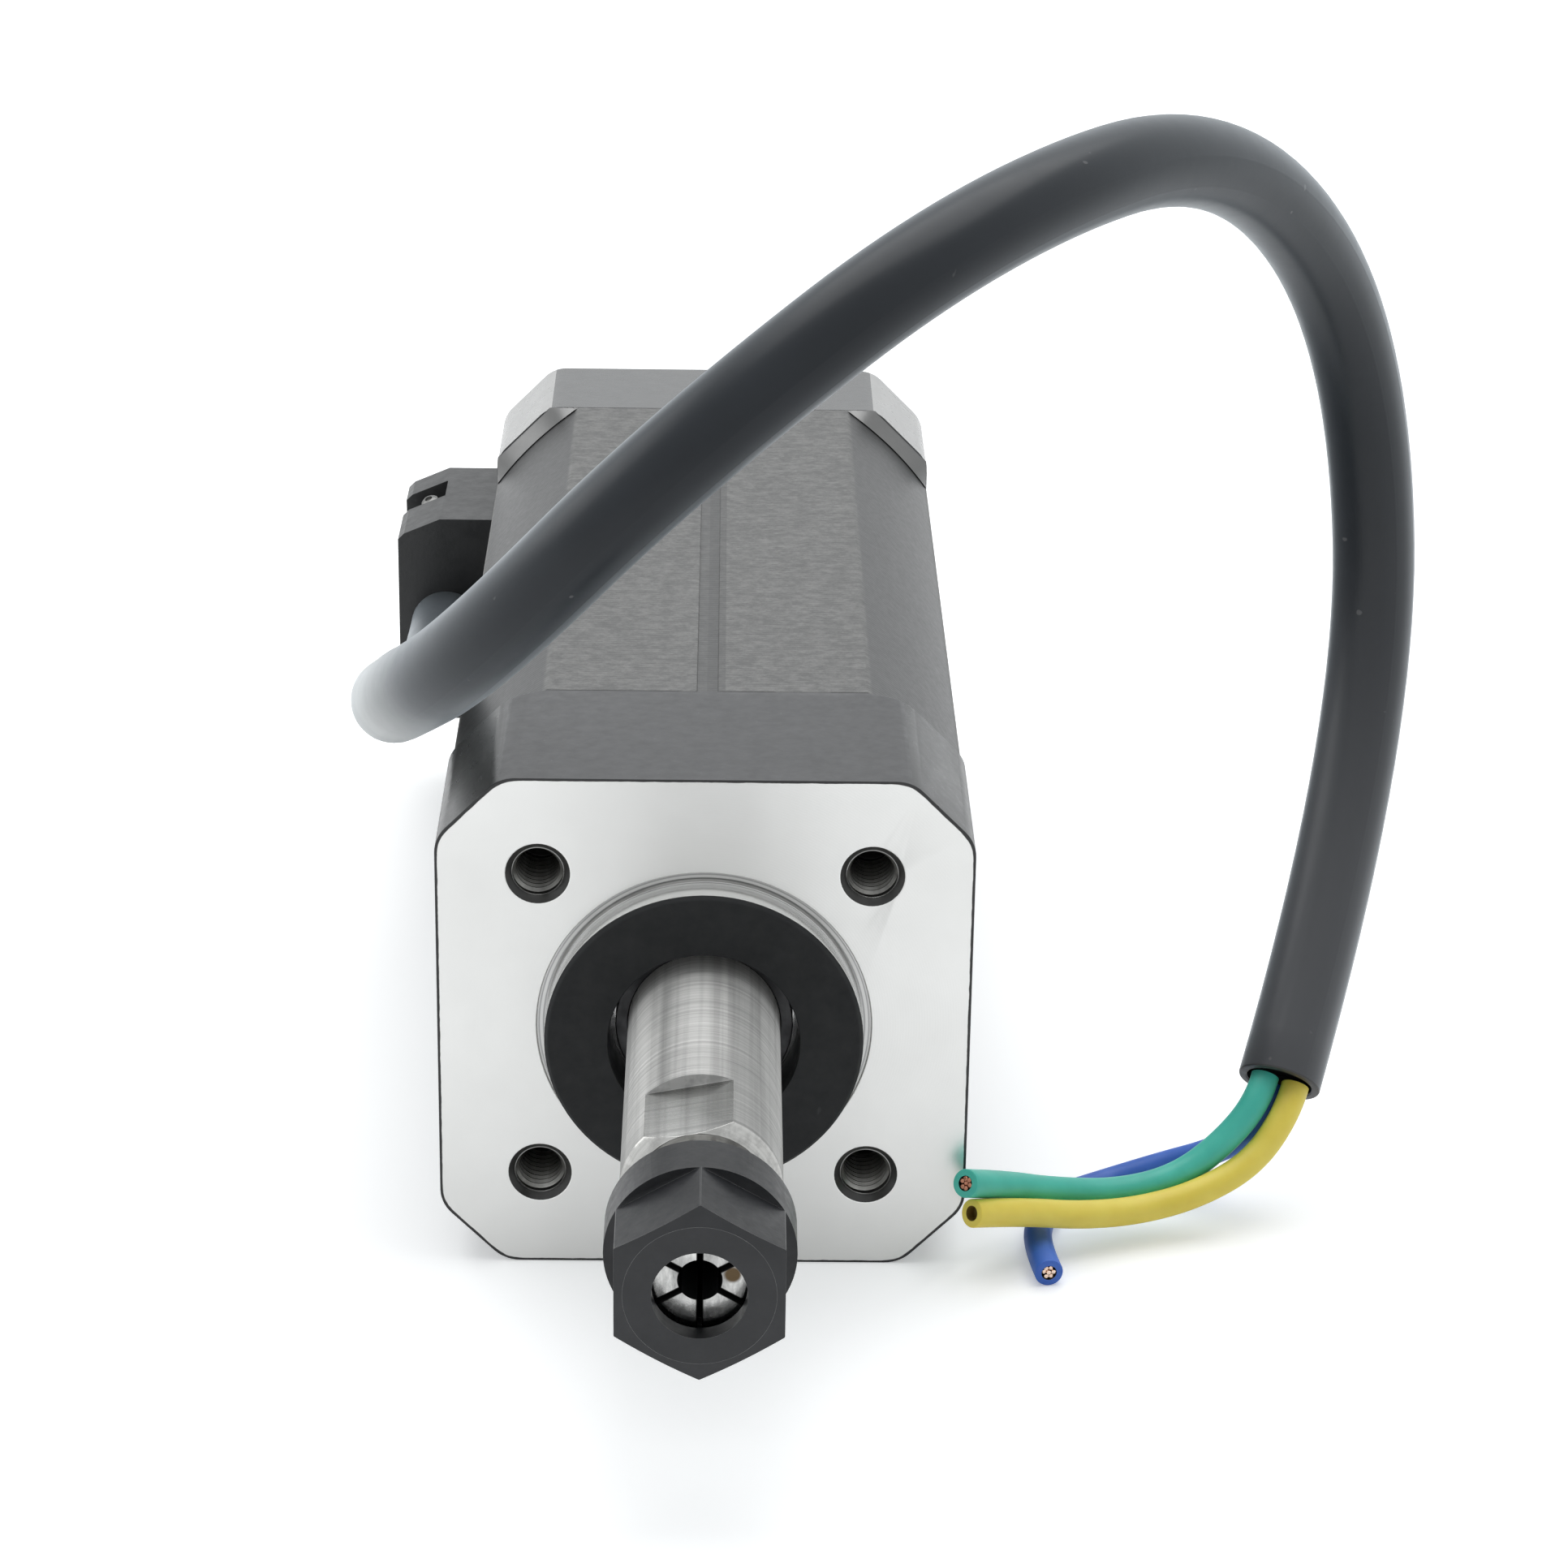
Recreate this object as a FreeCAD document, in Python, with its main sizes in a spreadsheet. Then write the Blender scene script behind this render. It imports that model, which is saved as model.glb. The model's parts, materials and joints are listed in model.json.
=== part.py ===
import FreeCAD, Part

import math
import os

import Sketcher

# Motor spindle: square 42 mm motor with a flange, a collet nose and a side cable outlet.
# Millimetres. Origin at the middle of the flange face, X right, Y to the rear, Z up.

os.makedirs("parts", exist_ok=True)
doc = FreeCAD.newDocument("MotorSpindle")
sheet = doc.addObject("Spreadsheet::Sheet", "Sizes")
exported = []


def value_of(size):
    return size.value if isinstance(size, Size) else float(size)


def text_of(size):
    return size.text if isinstance(size, Size) else repr(float(size))


class Size:
    """A number together with the expression that binds it to the sheet."""

    def __init__(self, value, text):
        self.value = value
        self.text = text

    def joined(self, sign, other, value):
        return Size(value, "(%s %s %s)" % (self.text, sign, text_of(other)))

    def __add__(self, other):
        return self.joined("+", other, self.value + value_of(other))

    def __sub__(self, other):
        return self.joined("-", other, self.value - value_of(other))

    def __mul__(self, other):
        return self.joined("*", other, self.value * value_of(other))

    def __truediv__(self, other):
        return self.joined("/", other, self.value / value_of(other))

    def __neg__(self):
        return self * -1


def size(alias, value):
    """Write one driving dimension in the sheet."""
    row = size.rows + 1
    size.rows = row
    sheet.set("A%d" % row, alias.replace("_", " "))
    sheet.set("B%d" % row, str(value))
    sheet.setAlias("B%d" % row, alias)
    return Size(float(value), "Sizes." + alias)


size.rows = 0
diagonal = math.sqrt(0.5)
taper = math.tan(math.radians(8))
# How far a cutting outline runs past the material
overrun = 1

# Frame of the motor
square_half = size("square_half", 21)
corner_leg = size("corner_leg", 5.1)
corner_round = size("corner_round", 3)
arc_bulge = size("arc_bulge", 3.7)
stack_front = size("stack_front", 18.8)
stack_length = size("stack_length", 75.7)
rear_cap_length = size("rear_cap_length", 13.4)
corner_slope = size("corner_slope", 2.2)
cap_wall = size("cap_wall", 1.8)
front_cavity_depth = size("front_cavity_depth", 4)
rear_edge_bevel = size("rear_edge_bevel", 0.5)

# Flange and pilot
pilot_radius = size("pilot_radius", 12.5)
pilot_height = size("pilot_height", 3)
pilot_bevel = size("pilot_bevel", 0.3)
undercut = size("undercut", 0.2)
undercut_rise = size("undercut_rise", 0.3)
relief_width = size("relief_width", 0.7)
relief_depth = size("relief_depth", 0.25)
nose_hole_radius = size("nose_hole_radius", 7.5)
flange_hole_offset = size("flange_hole_offset", 13)
flange_hole_radius = size("flange_hole_radius", 2)
flange_hole_depth = size("flange_hole_depth", 8)
flange_sink_radius = size("flange_sink_radius", 2.52)

# Tie screws
tie_shift = size("tie_shift", 0.85)
tie_radius = size("tie_radius", 1.5)
tie_clearance = size("tie_clearance", 0.2)
tie_head_radius = size("tie_head_radius", 2.75)
tie_head_height = size("tie_head_height", 3)
tie_head_sunk = size("tie_head_sunk", 0.2)
tie_socket_radius = size("tie_socket_radius", 1.44)
tie_socket_depth = size("tie_socket_depth", 1.6)
tie_grip = size("tie_grip", 9)

# Stator
bore_share = size("bore_share", 0.52)
shoe_depth = size("shoe_depth", 1.2)
slot_opening_half = size("slot_opening_half", 1.15)
tooth_half = size("tooth_half", 2.2)
slot_crown = size("slot_crown", 0.2)
slot_crown_fall = size("slot_crown_fall", 0.1)
shoe_fall = size("shoe_fall", 0.25)
weld_half = size("weld_half", 0.85)
weld_depth = size("weld_depth", 0.2)
insulator_wall = size("insulator_wall", 0.8)
insulator_skirt = size("insulator_skirt", 2.6)
insulator_clearance = size("insulator_clearance", 0.2)
insulator_lap = size("insulator_lap", 0.3)
lip_setback = size("lip_setback", 0.3)
lip_side = size("lip_side", 1)
liner_gap = size("liner_gap", 0.4)
skirt_setback = size("skirt_setback", 1)
skirt_wall = size("skirt_wall", 1.2)
coil_setback = size("coil_setback", 1.2)
coil_top_gap = size("coil_top_gap", 1)
coil_width = size("coil_width", 2.4)
coil_corner = size("coil_corner", 1.5)

# Shaft and rotor
shaft_radius = size("shaft_radius", 6)
shaft_front = size("shaft_front", 28.2)
shaft_bevel_long = size("shaft_bevel_long", 0.9)
shaft_bevel_deep = size("shaft_bevel_deep", 1)
neck_radius = size("neck_radius", 4.5)
thread_radius = size("thread_radius", 4.9)
thread_length = size("thread_length", 5.1)
nose_length = size("nose_length", 9.9)
nose_bevel = size("nose_bevel", 0.35)
flat_half = size("flat_half", 5)
flat_length = size("flat_length", 7.7)
flat_turn = size("flat_turn", 11)
tool_bore_radius = size("tool_bore_radius", 1.8)
tool_bore_depth = size("tool_bore_depth", 20)
shoulder_radius = size("shoulder_radius", 7)
shoulder_length = size("shoulder_length", 6)
rear_step = size("rear_step", 0.9)
rear_shaft_radius = size("rear_shaft_radius", 4)
rotor_inset = size("rotor_inset", 1.7)
air_gap = size("air_gap", 0.5)
sleeve_wall = size("sleeve_wall", 0.3)
magnet_thickness = size("magnet_thickness", 1.7)
magnet_arc = size("magnet_arc", 84)
magnet_inset = size("magnet_inset", 0.5)
core_wall = size("core_wall", 2)
core_seat_spare = size("core_seat_spare", 0.7)
shaft_tail = size("shaft_tail", 0.2)
spacer_wall = size("spacer_wall", 1)
spacer_length = size("spacer_length", 1.5)

# Bearings
front_seat_wall = size("front_seat_wall", 2)
front_outer_radius = size("front_outer_radius", 14)
front_bearing_width = size("front_bearing_width", 8)
rear_outer_radius = size("rear_outer_radius", 11)
rear_bearing_width = size("rear_bearing_width", 7)
rear_seat_start = size("rear_seat_start", 3.5)
ball_share = size("ball_share", 0.29)
land_share = size("land_share", 0.19)
ball_clearance = size("ball_clearance", 0.03)
shield_thickness = size("shield_thickness", 0.35)
shield_lap = size("shield_lap", 0.5)
shield_gap = size("shield_gap", 0.2)
cage_half_wall = size("cage_half_wall", 0.7)
cage_rim = size("cage_rim", 0.3)
cage_clearance = size("cage_clearance", 0.07)
washer_thickness = size("washer_thickness", 1)
washer_width = size("washer_width", 2.4)
washer_gap = size("washer_gap", 0.1)
boss_wall = size("boss_wall", 2)
boss_setback = size("boss_setback", 6)

# Collet and nut
collet_recess = size("collet_recess", 1.5)
collet_bore = size("collet_bore", 1.5875)
collet_face_radius = size("collet_face_radius", 3.3)
collet_head_radius = size("collet_head_radius", 4.25)
collet_cone = size("collet_cone", 1.65)
collet_band = size("collet_band", 0.35)
collet_groove_radius = size("collet_groove_radius", 3.6)
collet_groove_width = size("collet_groove_width", 1.2)
collet_taper_radius = size("collet_taper_radius", 4.1)
collet_taper_length = size("collet_taper_length", 10.2)
collet_slit = size("collet_slit", 0.35)
collet_slit_end = size("collet_slit_end", 2.4)
rear_slit_start = size("rear_slit_start", 7.2)
nose_gap = size("nose_gap", 0.3)
socket_clearance = size("socket_clearance", 0.02)
socket_spare = size("socket_spare", 0.7)
nut_length = size("nut_length", 10.5)
nut_radius = size("nut_radius", 6.9)
nut_flat_half = size("nut_flat_half", 6)
nut_collar = size("nut_collar", 4.4)
nut_front_bevel = size("nut_front_bevel", 1.5)
nut_front_bevel_long = size("nut_front_bevel_long", 0.4)
nut_rear_bevel = size("nut_rear_bevel", 0.3)
nut_clearance = size("nut_clearance", 0.05)
cone_clearance = size("cone_clearance", 0.08)
ring_clearance = size("ring_clearance", 0.15)

# Cable outlet
block_front_lap = size("block_front_lap", 3)
block_length = size("block_length", 16)
block_half = size("block_half", 10.4)
block_depth = size("block_depth", 9.6)
block_slope_start = size("block_slope_start", 5.5)
block_slope_end = size("block_slope_end", 9)
block_slope_drop = size("block_slope_drop", 1.5)
block_edge = size("block_edge", 0.6)
block_front_wall = size("block_front_wall", 4)
block_wall = size("block_wall", 1.2)
block_room_half = size("block_room_half", 3.9)
block_room_length = size("block_room_length", 10.4)
notch_offset = size("notch_offset", 7.2)
notch_radius = size("notch_radius", 2.5)
notch_floor = size("notch_floor", 4.5)
notch_setback = size("notch_setback", 9.5)
clamp_head_radius = size("clamp_head_radius", 1.9)
clamp_head_height = size("clamp_head_height", 1.5)
clamp_slot = size("clamp_slot", 0.5)
clamp_slot_reach = size("clamp_slot_reach", 1.33)
clamp_slot_depth = size("clamp_slot_depth", 0.7)
clamp_radius = size("clamp_radius", 1)
clamp_length = size("clamp_length", 7)
outlet_radius = size("outlet_radius", 3.3)
cable_radius = size("cable_radius", 3.4)
cable_out = size("cable_out", 5)
cable_drop = size("cable_drop", 0.5)
wire_radius = size("wire_radius", 1.15)
lead_radius = size("lead_radius", 1)
lead_spacing = size("lead_spacing", 2.15)
lead_gap = size("lead_gap", 0.5)
lead_end_gap = size("lead_end_gap", 0.1)

# Radii and offsets that follow from the frame
arc_radius = square_half + arc_bulge
cavity_radius = square_half - cap_wall
corner_reach = (square_half * 2 - corner_leg) * diagonal
tie_offset = ((cavity_radius + corner_reach) / 2 - tie_shift) * diagonal
bore_radius = square_half * bore_share
skirt_outer = cavity_radius - skirt_setback
skirt_inner = skirt_outer - skirt_wall
slot_outer = skirt_inner + slot_crown
coil_inner = bore_radius + coil_setback
coil_outer = skirt_inner - coil_top_gap
sleeve_radius = bore_radius - air_gap
magnet_radius = sleeve_radius - sleeve_wall
core_radius = magnet_radius - magnet_thickness
core_seat_radius = core_radius - core_wall
rear_shoulder_radius = rear_shaft_radius + rear_step

# Places along the axis that several pieces share
stack_rear = stack_front + stack_length
body_rear = stack_rear + rear_cap_length
front_bearing_end = front_seat_wall + front_bearing_width
rear_bearing_front = stack_rear + rear_seat_start
rear_bearing_end = rear_bearing_front + rear_bearing_width
rear_seat_end = rear_bearing_end + washer_thickness
block_front = stack_rear - block_front_lap
block_rear = block_front + block_length
notch_along = block_front + notch_setback
tie_seat = body_rear - tie_head_sunk - tie_head_height
tie_tip = stack_front - tie_grip
nose_end = -shaft_front - nose_length
groove_rear = nose_end - nose_gap
groove_front = groove_rear - collet_groove_width
collet_rear = groove_rear + collet_taper_length
collet_face = groove_front - collet_band - collet_cone
nut_face = collet_face - collet_recess
nut_rear = nut_face + nut_length


def bind(thing, target, amount):
    """Bind one property of an object to its size, or set it where the amount is a plain number."""
    thing.setExpression(target, text_of(amount))


def origin_feature(body, role):
    for feature in body.Origin.OriginFeatures:
        if feature.Role == role:
            return feature
    raise RuntimeError("no " + role)


def new_body(label):
    """One sub-part of the document; its label names its file."""
    body = doc.addObject("PartDesign::Body", "Body_" + label)
    body.Label = label
    body.AllowCompound = True
    exported.append(body)
    return body


def new_sketch(body, plane, lift):
    sketch = body.newObject("Sketcher::SketchObject", body.Label + "_sketch")
    sketch.AttachmentSupport = (origin_feature(body, plane), [""])
    sketch.MapMode = "FlatFace"
    bind(sketch, "AttachmentOffset.Base.z", lift)
    return sketch


def constrain(sketch, rows):
    """Add constraints from rows of kind, elements and size, and bind each one."""
    for kind, elements, amount in rows:
        index = sketch.addConstraint(Sketcher.Constraint(kind, *elements, value_of(amount)))
        bind(sketch, "Constraints[%d]" % index, amount)


def draw_polygon(sketch, points):
    """Closed outline whose corners are bound to their sizes."""
    corners = [FreeCAD.Vector(value_of(x), value_of(y), 0) for x, y in points]
    first = sketch.GeometryCount
    count = len(corners)
    for i in range(count):
        sketch.addGeometry(Part.LineSegment(corners[i], corners[(i + 1) % count]), False)
    for i in range(count):
        end = first + (i + 1) % count
        sketch.addConstraint(Sketcher.Constraint("Coincident", first + i, 2, end, 1))
    for i, (x, y) in enumerate(points):
        constrain(sketch, [("DistanceX", (first + i, 1), x), ("DistanceY", (first + i, 1), y)])


def draw_circle(sketch, x, y, radius):
    centre = FreeCAD.Vector(value_of(x), value_of(y), 0)
    circle = Part.Circle(centre, FreeCAD.Vector(0, 0, 1), value_of(radius))
    index = sketch.addGeometry(circle, False)
    rows = [("Radius", (index,), radius), ("DistanceX", (index, 3), x), ("DistanceY", (index, 3), y)]
    constrain(sketch, rows)


def draw(sketch, loops):
    """Each loop is a list of corners, or (x, y, radius) for a circle."""
    for loop in loops:
        if isinstance(loop, tuple):
            draw_circle(sketch, *loop)
        else:
            draw_polygon(sketch, loop)


def turned(body, loops, cut=False, sweep=360):
    """Revolve outlines of (radius, along) about the Y axis."""
    sketch = new_sketch(body, "XY_Plane", 0)
    draw(sketch, loops)
    kind = "PartDesign::Groove" if cut else "PartDesign::Revolution"
    feature = body.newObject(kind, body.Label + ("_groove" if cut else "_turned"))
    feature.Profile = sketch
    feature.ReferenceAxis = (sketch, ["V_Axis"])
    bind(feature, "Angle", sweep)
    return feature


def across(body, loops, start, end, cut=False):
    """Outlines of (x, z) that fill the stretch from start to end along Y."""
    sketch = new_sketch(body, "XZ_Plane", -start if cut else -end)
    draw(sketch, loops)
    kind = "PartDesign::Pocket" if cut else "PartDesign::Pad"
    feature = body.newObject(kind, body.Label + ("_pocket" if cut else "_pad"))
    feature.Profile = sketch
    bind(feature, "Length", end - start)
    return feature


def sideways(body, loops, start, end, cut=False):
    """Outlines of (y, z) that fill the stretch from start to end along X."""
    sketch = new_sketch(body, "YZ_Plane", end if cut else start)
    draw(sketch, loops)
    kind = "PartDesign::Pocket" if cut else "PartDesign::Pad"
    feature = body.newObject(kind, body.Label + ("_side_pocket" if cut else "_side_pad"))
    feature.Profile = sketch
    bind(feature, "Length", end - start)
    return feature


def ring_of(body, features, count):
    """Repeat features round the Y axis."""
    pattern = body.newObject("PartDesign::PolarPattern", body.Label + "_pattern")
    pattern.Originals = features
    pattern.Axis = (origin_feature(body, "Y_Axis"), [""])
    pattern.Angle = 360
    pattern.Occurrences = count
    body.Tip = pattern
    return pattern


def rounded(body, base, radius, chosen):
    """Fillet the edges of the base feature that the test picks."""
    doc.recompute()
    names = []
    for i, edge in enumerate(base.Shape.Edges):
        if chosen(edge):
            names.append("Edge%d" % (i + 1))
    fillet = body.newObject("PartDesign::Fillet", body.Label + "_fillet")
    fillet.Base = (base, names)
    bind(fillet, "Radius", radius)
    return fillet


def box(x0, x1, y0, y1):
    return [(x0, y0), (x1, y0), (x1, y1), (x0, y1)]


def mirrored_box(half, y0, y1):
    return box(-half, half, y0, y1)


def lies_along_y(edge):
    if len(edge.Vertexes) != 2:
        return False
    a = edge.Vertexes[0].Point
    b = edge.Vertexes[1].Point
    return abs(a.x - b.x) < 0.001 and abs(a.z - b.z) < 0.001


def octagon():
    near = square_half - corner_leg
    far = square_half
    quarter = [(far, -near), (far, near), (near, far), (-near, far)]
    return quarter + [(-x, -y) for x, y in quarter]


def tie_holes(body, radius, start, end):
    hole = across(body, [(tie_offset, tie_offset, radius)], start, end, cut=True)
    ring_of(body, [hole], 4)


def front_end_cap():
    body = new_body("front_end_cap")
    block = across(body, [octagon()], 0, stack_front)
    rounded(body, block, corner_round, lies_along_y)
    outside = arc_radius + corner_slope
    slope = [(arc_radius, stack_front), (outside, stack_front), (outside, stack_front - corner_slope)]
    turned(body, [slope], cut=True)
    rim = pilot_radius - pilot_bevel
    pilot = [(nose_hole_radius, -pilot_height), (rim, -pilot_height)]
    pilot += [(pilot_radius, pilot_bevel - pilot_height), (pilot_radius, 1), (nose_hole_radius, 1)]
    turned(body, [pilot])
    inside = [(0, -pilot_height), (nose_hole_radius, -pilot_height), (nose_hole_radius, front_seat_wall)]
    cavity_start = stack_front - front_cavity_depth
    inside += [(front_outer_radius, front_seat_wall), (front_outer_radius, cavity_start)]
    inside += [(cavity_radius, cavity_start), (cavity_radius, stack_front), (0, stack_front)]
    turned(body, [inside], cut=True)
    relief = box(pilot_radius - undercut, pilot_radius + relief_width, -undercut_rise, relief_depth)
    turned(body, [relief], cut=True)
    hole = across(body, [(flange_hole_offset, flange_hole_offset, flange_hole_radius)],
                  0, flange_hole_depth, cut=True)
    ring_of(body, [hole], 4)
    doc.recompute()
    base = body.Tip
    mouths = []
    for i, edge in enumerate(base.Shape.Edges):
        circle = edge.Curve
        if isinstance(circle, Part.Circle) and abs(circle.Radius - flange_hole_radius.value) < 0.001:
            if abs(circle.Center.y) < 0.001:
                mouths.append("Edge%d" % (i + 1))
    sink = body.newObject("PartDesign::Chamfer", "flange_sink")
    sink.Base = (base, mouths)
    bind(sink, "Size", flange_sink_radius - flange_hole_radius)
    tie_holes(body, tie_radius, tie_tip, stack_front)


def rear_end_cap():
    body = new_body("rear_end_cap")
    block = across(body, [octagon()], stack_rear, body_rear)
    rounded(body, block, corner_round, lies_along_y)
    boss = rear_outer_radius + boss_wall
    boss_end = rear_bearing_front + boss_setback
    inside = [(0, stack_rear), (cavity_radius, stack_rear), (cavity_radius, boss_end), (boss, boss_end)]
    inside += [(boss, rear_bearing_front), (rear_outer_radius, rear_bearing_front)]
    inside += [(rear_outer_radius, rear_seat_end), (0, rear_seat_end)]
    turned(body, [inside], cut=True)
    outlet = (notch_along, -cable_drop, outlet_radius)
    sideways(body, [outlet], -square_half, -boss - overrun, cut=True)
    screws = [(notch_along, notch_offset, clamp_radius), (notch_along, -notch_offset, clamp_radius)]
    sideways(body, screws, -square_half, -boss - overrun, cut=True)
    tie_holes(body, tie_radius + tie_clearance, stack_rear, body_rear)
    tie_holes(body, tie_head_radius + tie_clearance, tie_seat, body_rear)
    bevel_outer_edge(body)


def bevel_outer_edge(body):
    """Break the rear outline of the cap."""
    doc.recompute()
    base = body.Tip
    names = []
    for i, edge in enumerate(base.Shape.Edges):
        middle = edge.CenterOfMass
        at_rear = abs(middle.y - body_rear.value) < 0.001
        if at_rear and not isinstance(edge.Curve, Part.Circle):
            names.append("Edge%d" % (i + 1))
        elif at_rear and abs(edge.Curve.Radius - corner_round.value) < 0.001:
            names.append("Edge%d" % (i + 1))
    bevel = body.newObject("PartDesign::Chamfer", "rear_bevel")
    bevel.Base = (base, names)
    bind(bevel, "Size", rear_edge_bevel)


def slot_outline():
    """Slot centred on the Z axis, its walls parallel to the teeth at 30 degrees on both sides."""
    c = math.cos(math.radians(60))
    s = math.sin(math.radians(60))
    low = bore_radius + shoe_depth
    wall_low = (low * c - tooth_half * s, low * s + tooth_half * c)
    wall_high = (slot_outer * c - tooth_half * s, slot_outer * s + tooth_half * c)
    crown = slot_outer - slot_crown_fall
    right = [(slot_opening_half, bore_radius - overrun), (slot_opening_half, low - shoe_fall)]
    right += [wall_low, wall_high]
    right.append((wall_high[0] / 2, crown))
    return right + [(-x, y) for x, y in reversed(right)]


def stator_core():
    body = new_body("stator_core")
    across(body, [mirrored_box(square_half, -square_half, square_half)], stack_front, stack_rear)
    turned(body, [box(arc_radius, square_half * 1.5, stack_front, stack_rear)], cut=True)
    across(body, [(0, 0, bore_radius)], stack_front, stack_rear, cut=True)
    slot = across(body, [slot_outline()], stack_front, stack_rear, cut=True)
    ring_of(body, [slot], 6)
    top = square_half + overrun
    weld = across(body, [mirrored_box(weld_half, square_half - weld_depth, top)],
                  stack_front, stack_rear, cut=True)
    ring_of(body, [weld], 4)
    tie_holes(body, tie_radius + tie_clearance, stack_front, stack_rear)


def insulator(label, face, outward):
    """Moulded frame on one end of the stack, with a sleeve round each tooth as far as mid length."""
    body = new_body(label)
    plate = face + insulator_wall * outward
    crest = plate + insulator_skirt * outward
    middle = stack_front + stack_length / 2
    half = tooth_half + insulator_wall
    near = bore_radius + lip_setback
    lip_outline = mirrored_box(half + lip_side, near, coil_inner - insulator_clearance)

    def span(loops, a, b):
        low, high = (a, b) if value_of(a) < value_of(b) else (b, a)
        return across(body, loops, low, high)

    span([(0, 0, cavity_radius - insulator_clearance), (0, 0, skirt_inner)], face, plate)
    span([(0, 0, skirt_outer), (0, 0, skirt_inner)], plate, crest)
    tongue = span([mirrored_box(half, near, skirt_inner + insulator_lap)], face, plate)
    lip = span([lip_outline], plate, crest)
    foot = span([lip_outline], face, plate)
    low = bore_radius + shoe_depth
    high = slot_outer - liner_gap
    right = span([box(tooth_half, half, low, high)], middle, face)
    left = span([box(-half, -tooth_half, low, high)], middle, face)
    ring_of(body, [tongue, lip, foot, right, left], 6)
    body.Placement = FreeCAD.Placement(FreeCAD.Vector(), FreeCAD.Rotation(FreeCAD.Vector(0, 1, 0), 30))


def coils(label, turn):
    """The two coils of one phase, on opposite teeth."""
    body = new_body(label)
    inner = tooth_half + insulator_wall
    outer = inner + coil_width
    inner_front = stack_front - insulator_wall
    inner_rear = stack_rear + insulator_wall
    front = inner_front - coil_width
    rear = inner_rear + coil_width
    edge = outer - coil_corner
    outline = [(front, -edge), (front + coil_corner, -outer), (rear - coil_corner, -outer), (rear, -edge)]
    outline += [(rear, edge), (rear - coil_corner, outer), (front + coil_corner, outer), (front, edge)]
    loop = sideways(body, [outline, box(inner_front, inner_rear, -inner, inner)], coil_inner, coil_outer)
    ring_of(body, [loop], 2)
    body.Placement = FreeCAD.Placement(FreeCAD.Vector(), FreeCAD.Rotation(FreeCAD.Vector(0, 1, 0), turn))


def collet_radius_at(along):
    return collet_taper_radius - (along - groove_rear) * taper


def spindle_shaft():
    body = new_body("spindle_shaft")
    socket_end = collet_rear + socket_spare
    bore_end = -shaft_front + tool_bore_depth
    wide = collet_radius_at(nose_end) + socket_clearance
    narrow = collet_radius_at(socket_end) + socket_clearance
    seat_rear = stack_rear - rotor_inset + core_seat_spare
    tail = rear_bearing_end + shaft_tail
    profile = [(0, bore_end), (tool_bore_radius, bore_end), (tool_bore_radius, socket_end)]
    profile += [(narrow, socket_end), (wide, nose_end), (thread_radius - nose_bevel, nose_end)]
    profile += [(thread_radius, nose_end + nose_bevel), (thread_radius, nose_end + thread_length)]
    profile += [(neck_radius, nose_end + thread_length), (neck_radius, -shaft_front)]
    profile += [(shaft_radius - shaft_bevel_deep, -shaft_front)]
    profile += [(shaft_radius, shaft_bevel_long - shaft_front), (shaft_radius, front_bearing_end)]
    profile += [(shoulder_radius, front_bearing_end), (shoulder_radius, front_bearing_end + shoulder_length)]
    profile += [(core_seat_radius, front_bearing_end + shoulder_length), (core_seat_radius, seat_rear)]
    profile += [(rear_shoulder_radius, seat_rear), (rear_shoulder_radius, rear_bearing_front)]
    profile += [(rear_shaft_radius, rear_bearing_front), (rear_shaft_radius, tail)]
    profile += [(0, tail)]
    turned(body, [profile])
    c = math.cos(math.radians(flat_turn.value))
    s = math.sin(math.radians(flat_turn.value))
    side = shaft_radius + overrun
    corners = []
    for along, out in ((-side, flat_half), (side, flat_half), (side, side), (-side, side)):
        corners.append((out * -s + along * c, out * c + along * s))
    flat = across(body, [corners], -shaft_front, flat_length - shaft_front, cut=True)
    ring_of(body, [flat], 2)


def rotor():
    front = stack_front + rotor_inset
    rear = stack_rear - rotor_inset
    turned(new_body("rotor_core"), [box(core_seat_radius, core_radius, front, rear)])
    body = new_body("rotor_magnets")
    bar = box(core_radius, magnet_radius, front + magnet_inset, rear - magnet_inset)
    ring_of(body, [turned(body, [bar], sweep=magnet_arc)], 4)
    turned(new_body("magnet_sleeve"), [box(magnet_radius, sleeve_radius, front, rear)])
    spacer = box(shaft_radius, shaft_radius + spacer_wall, front_seat_wall - spacer_length, front_seat_wall)
    turned(new_body("front_spacer"), [spacer])


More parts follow.
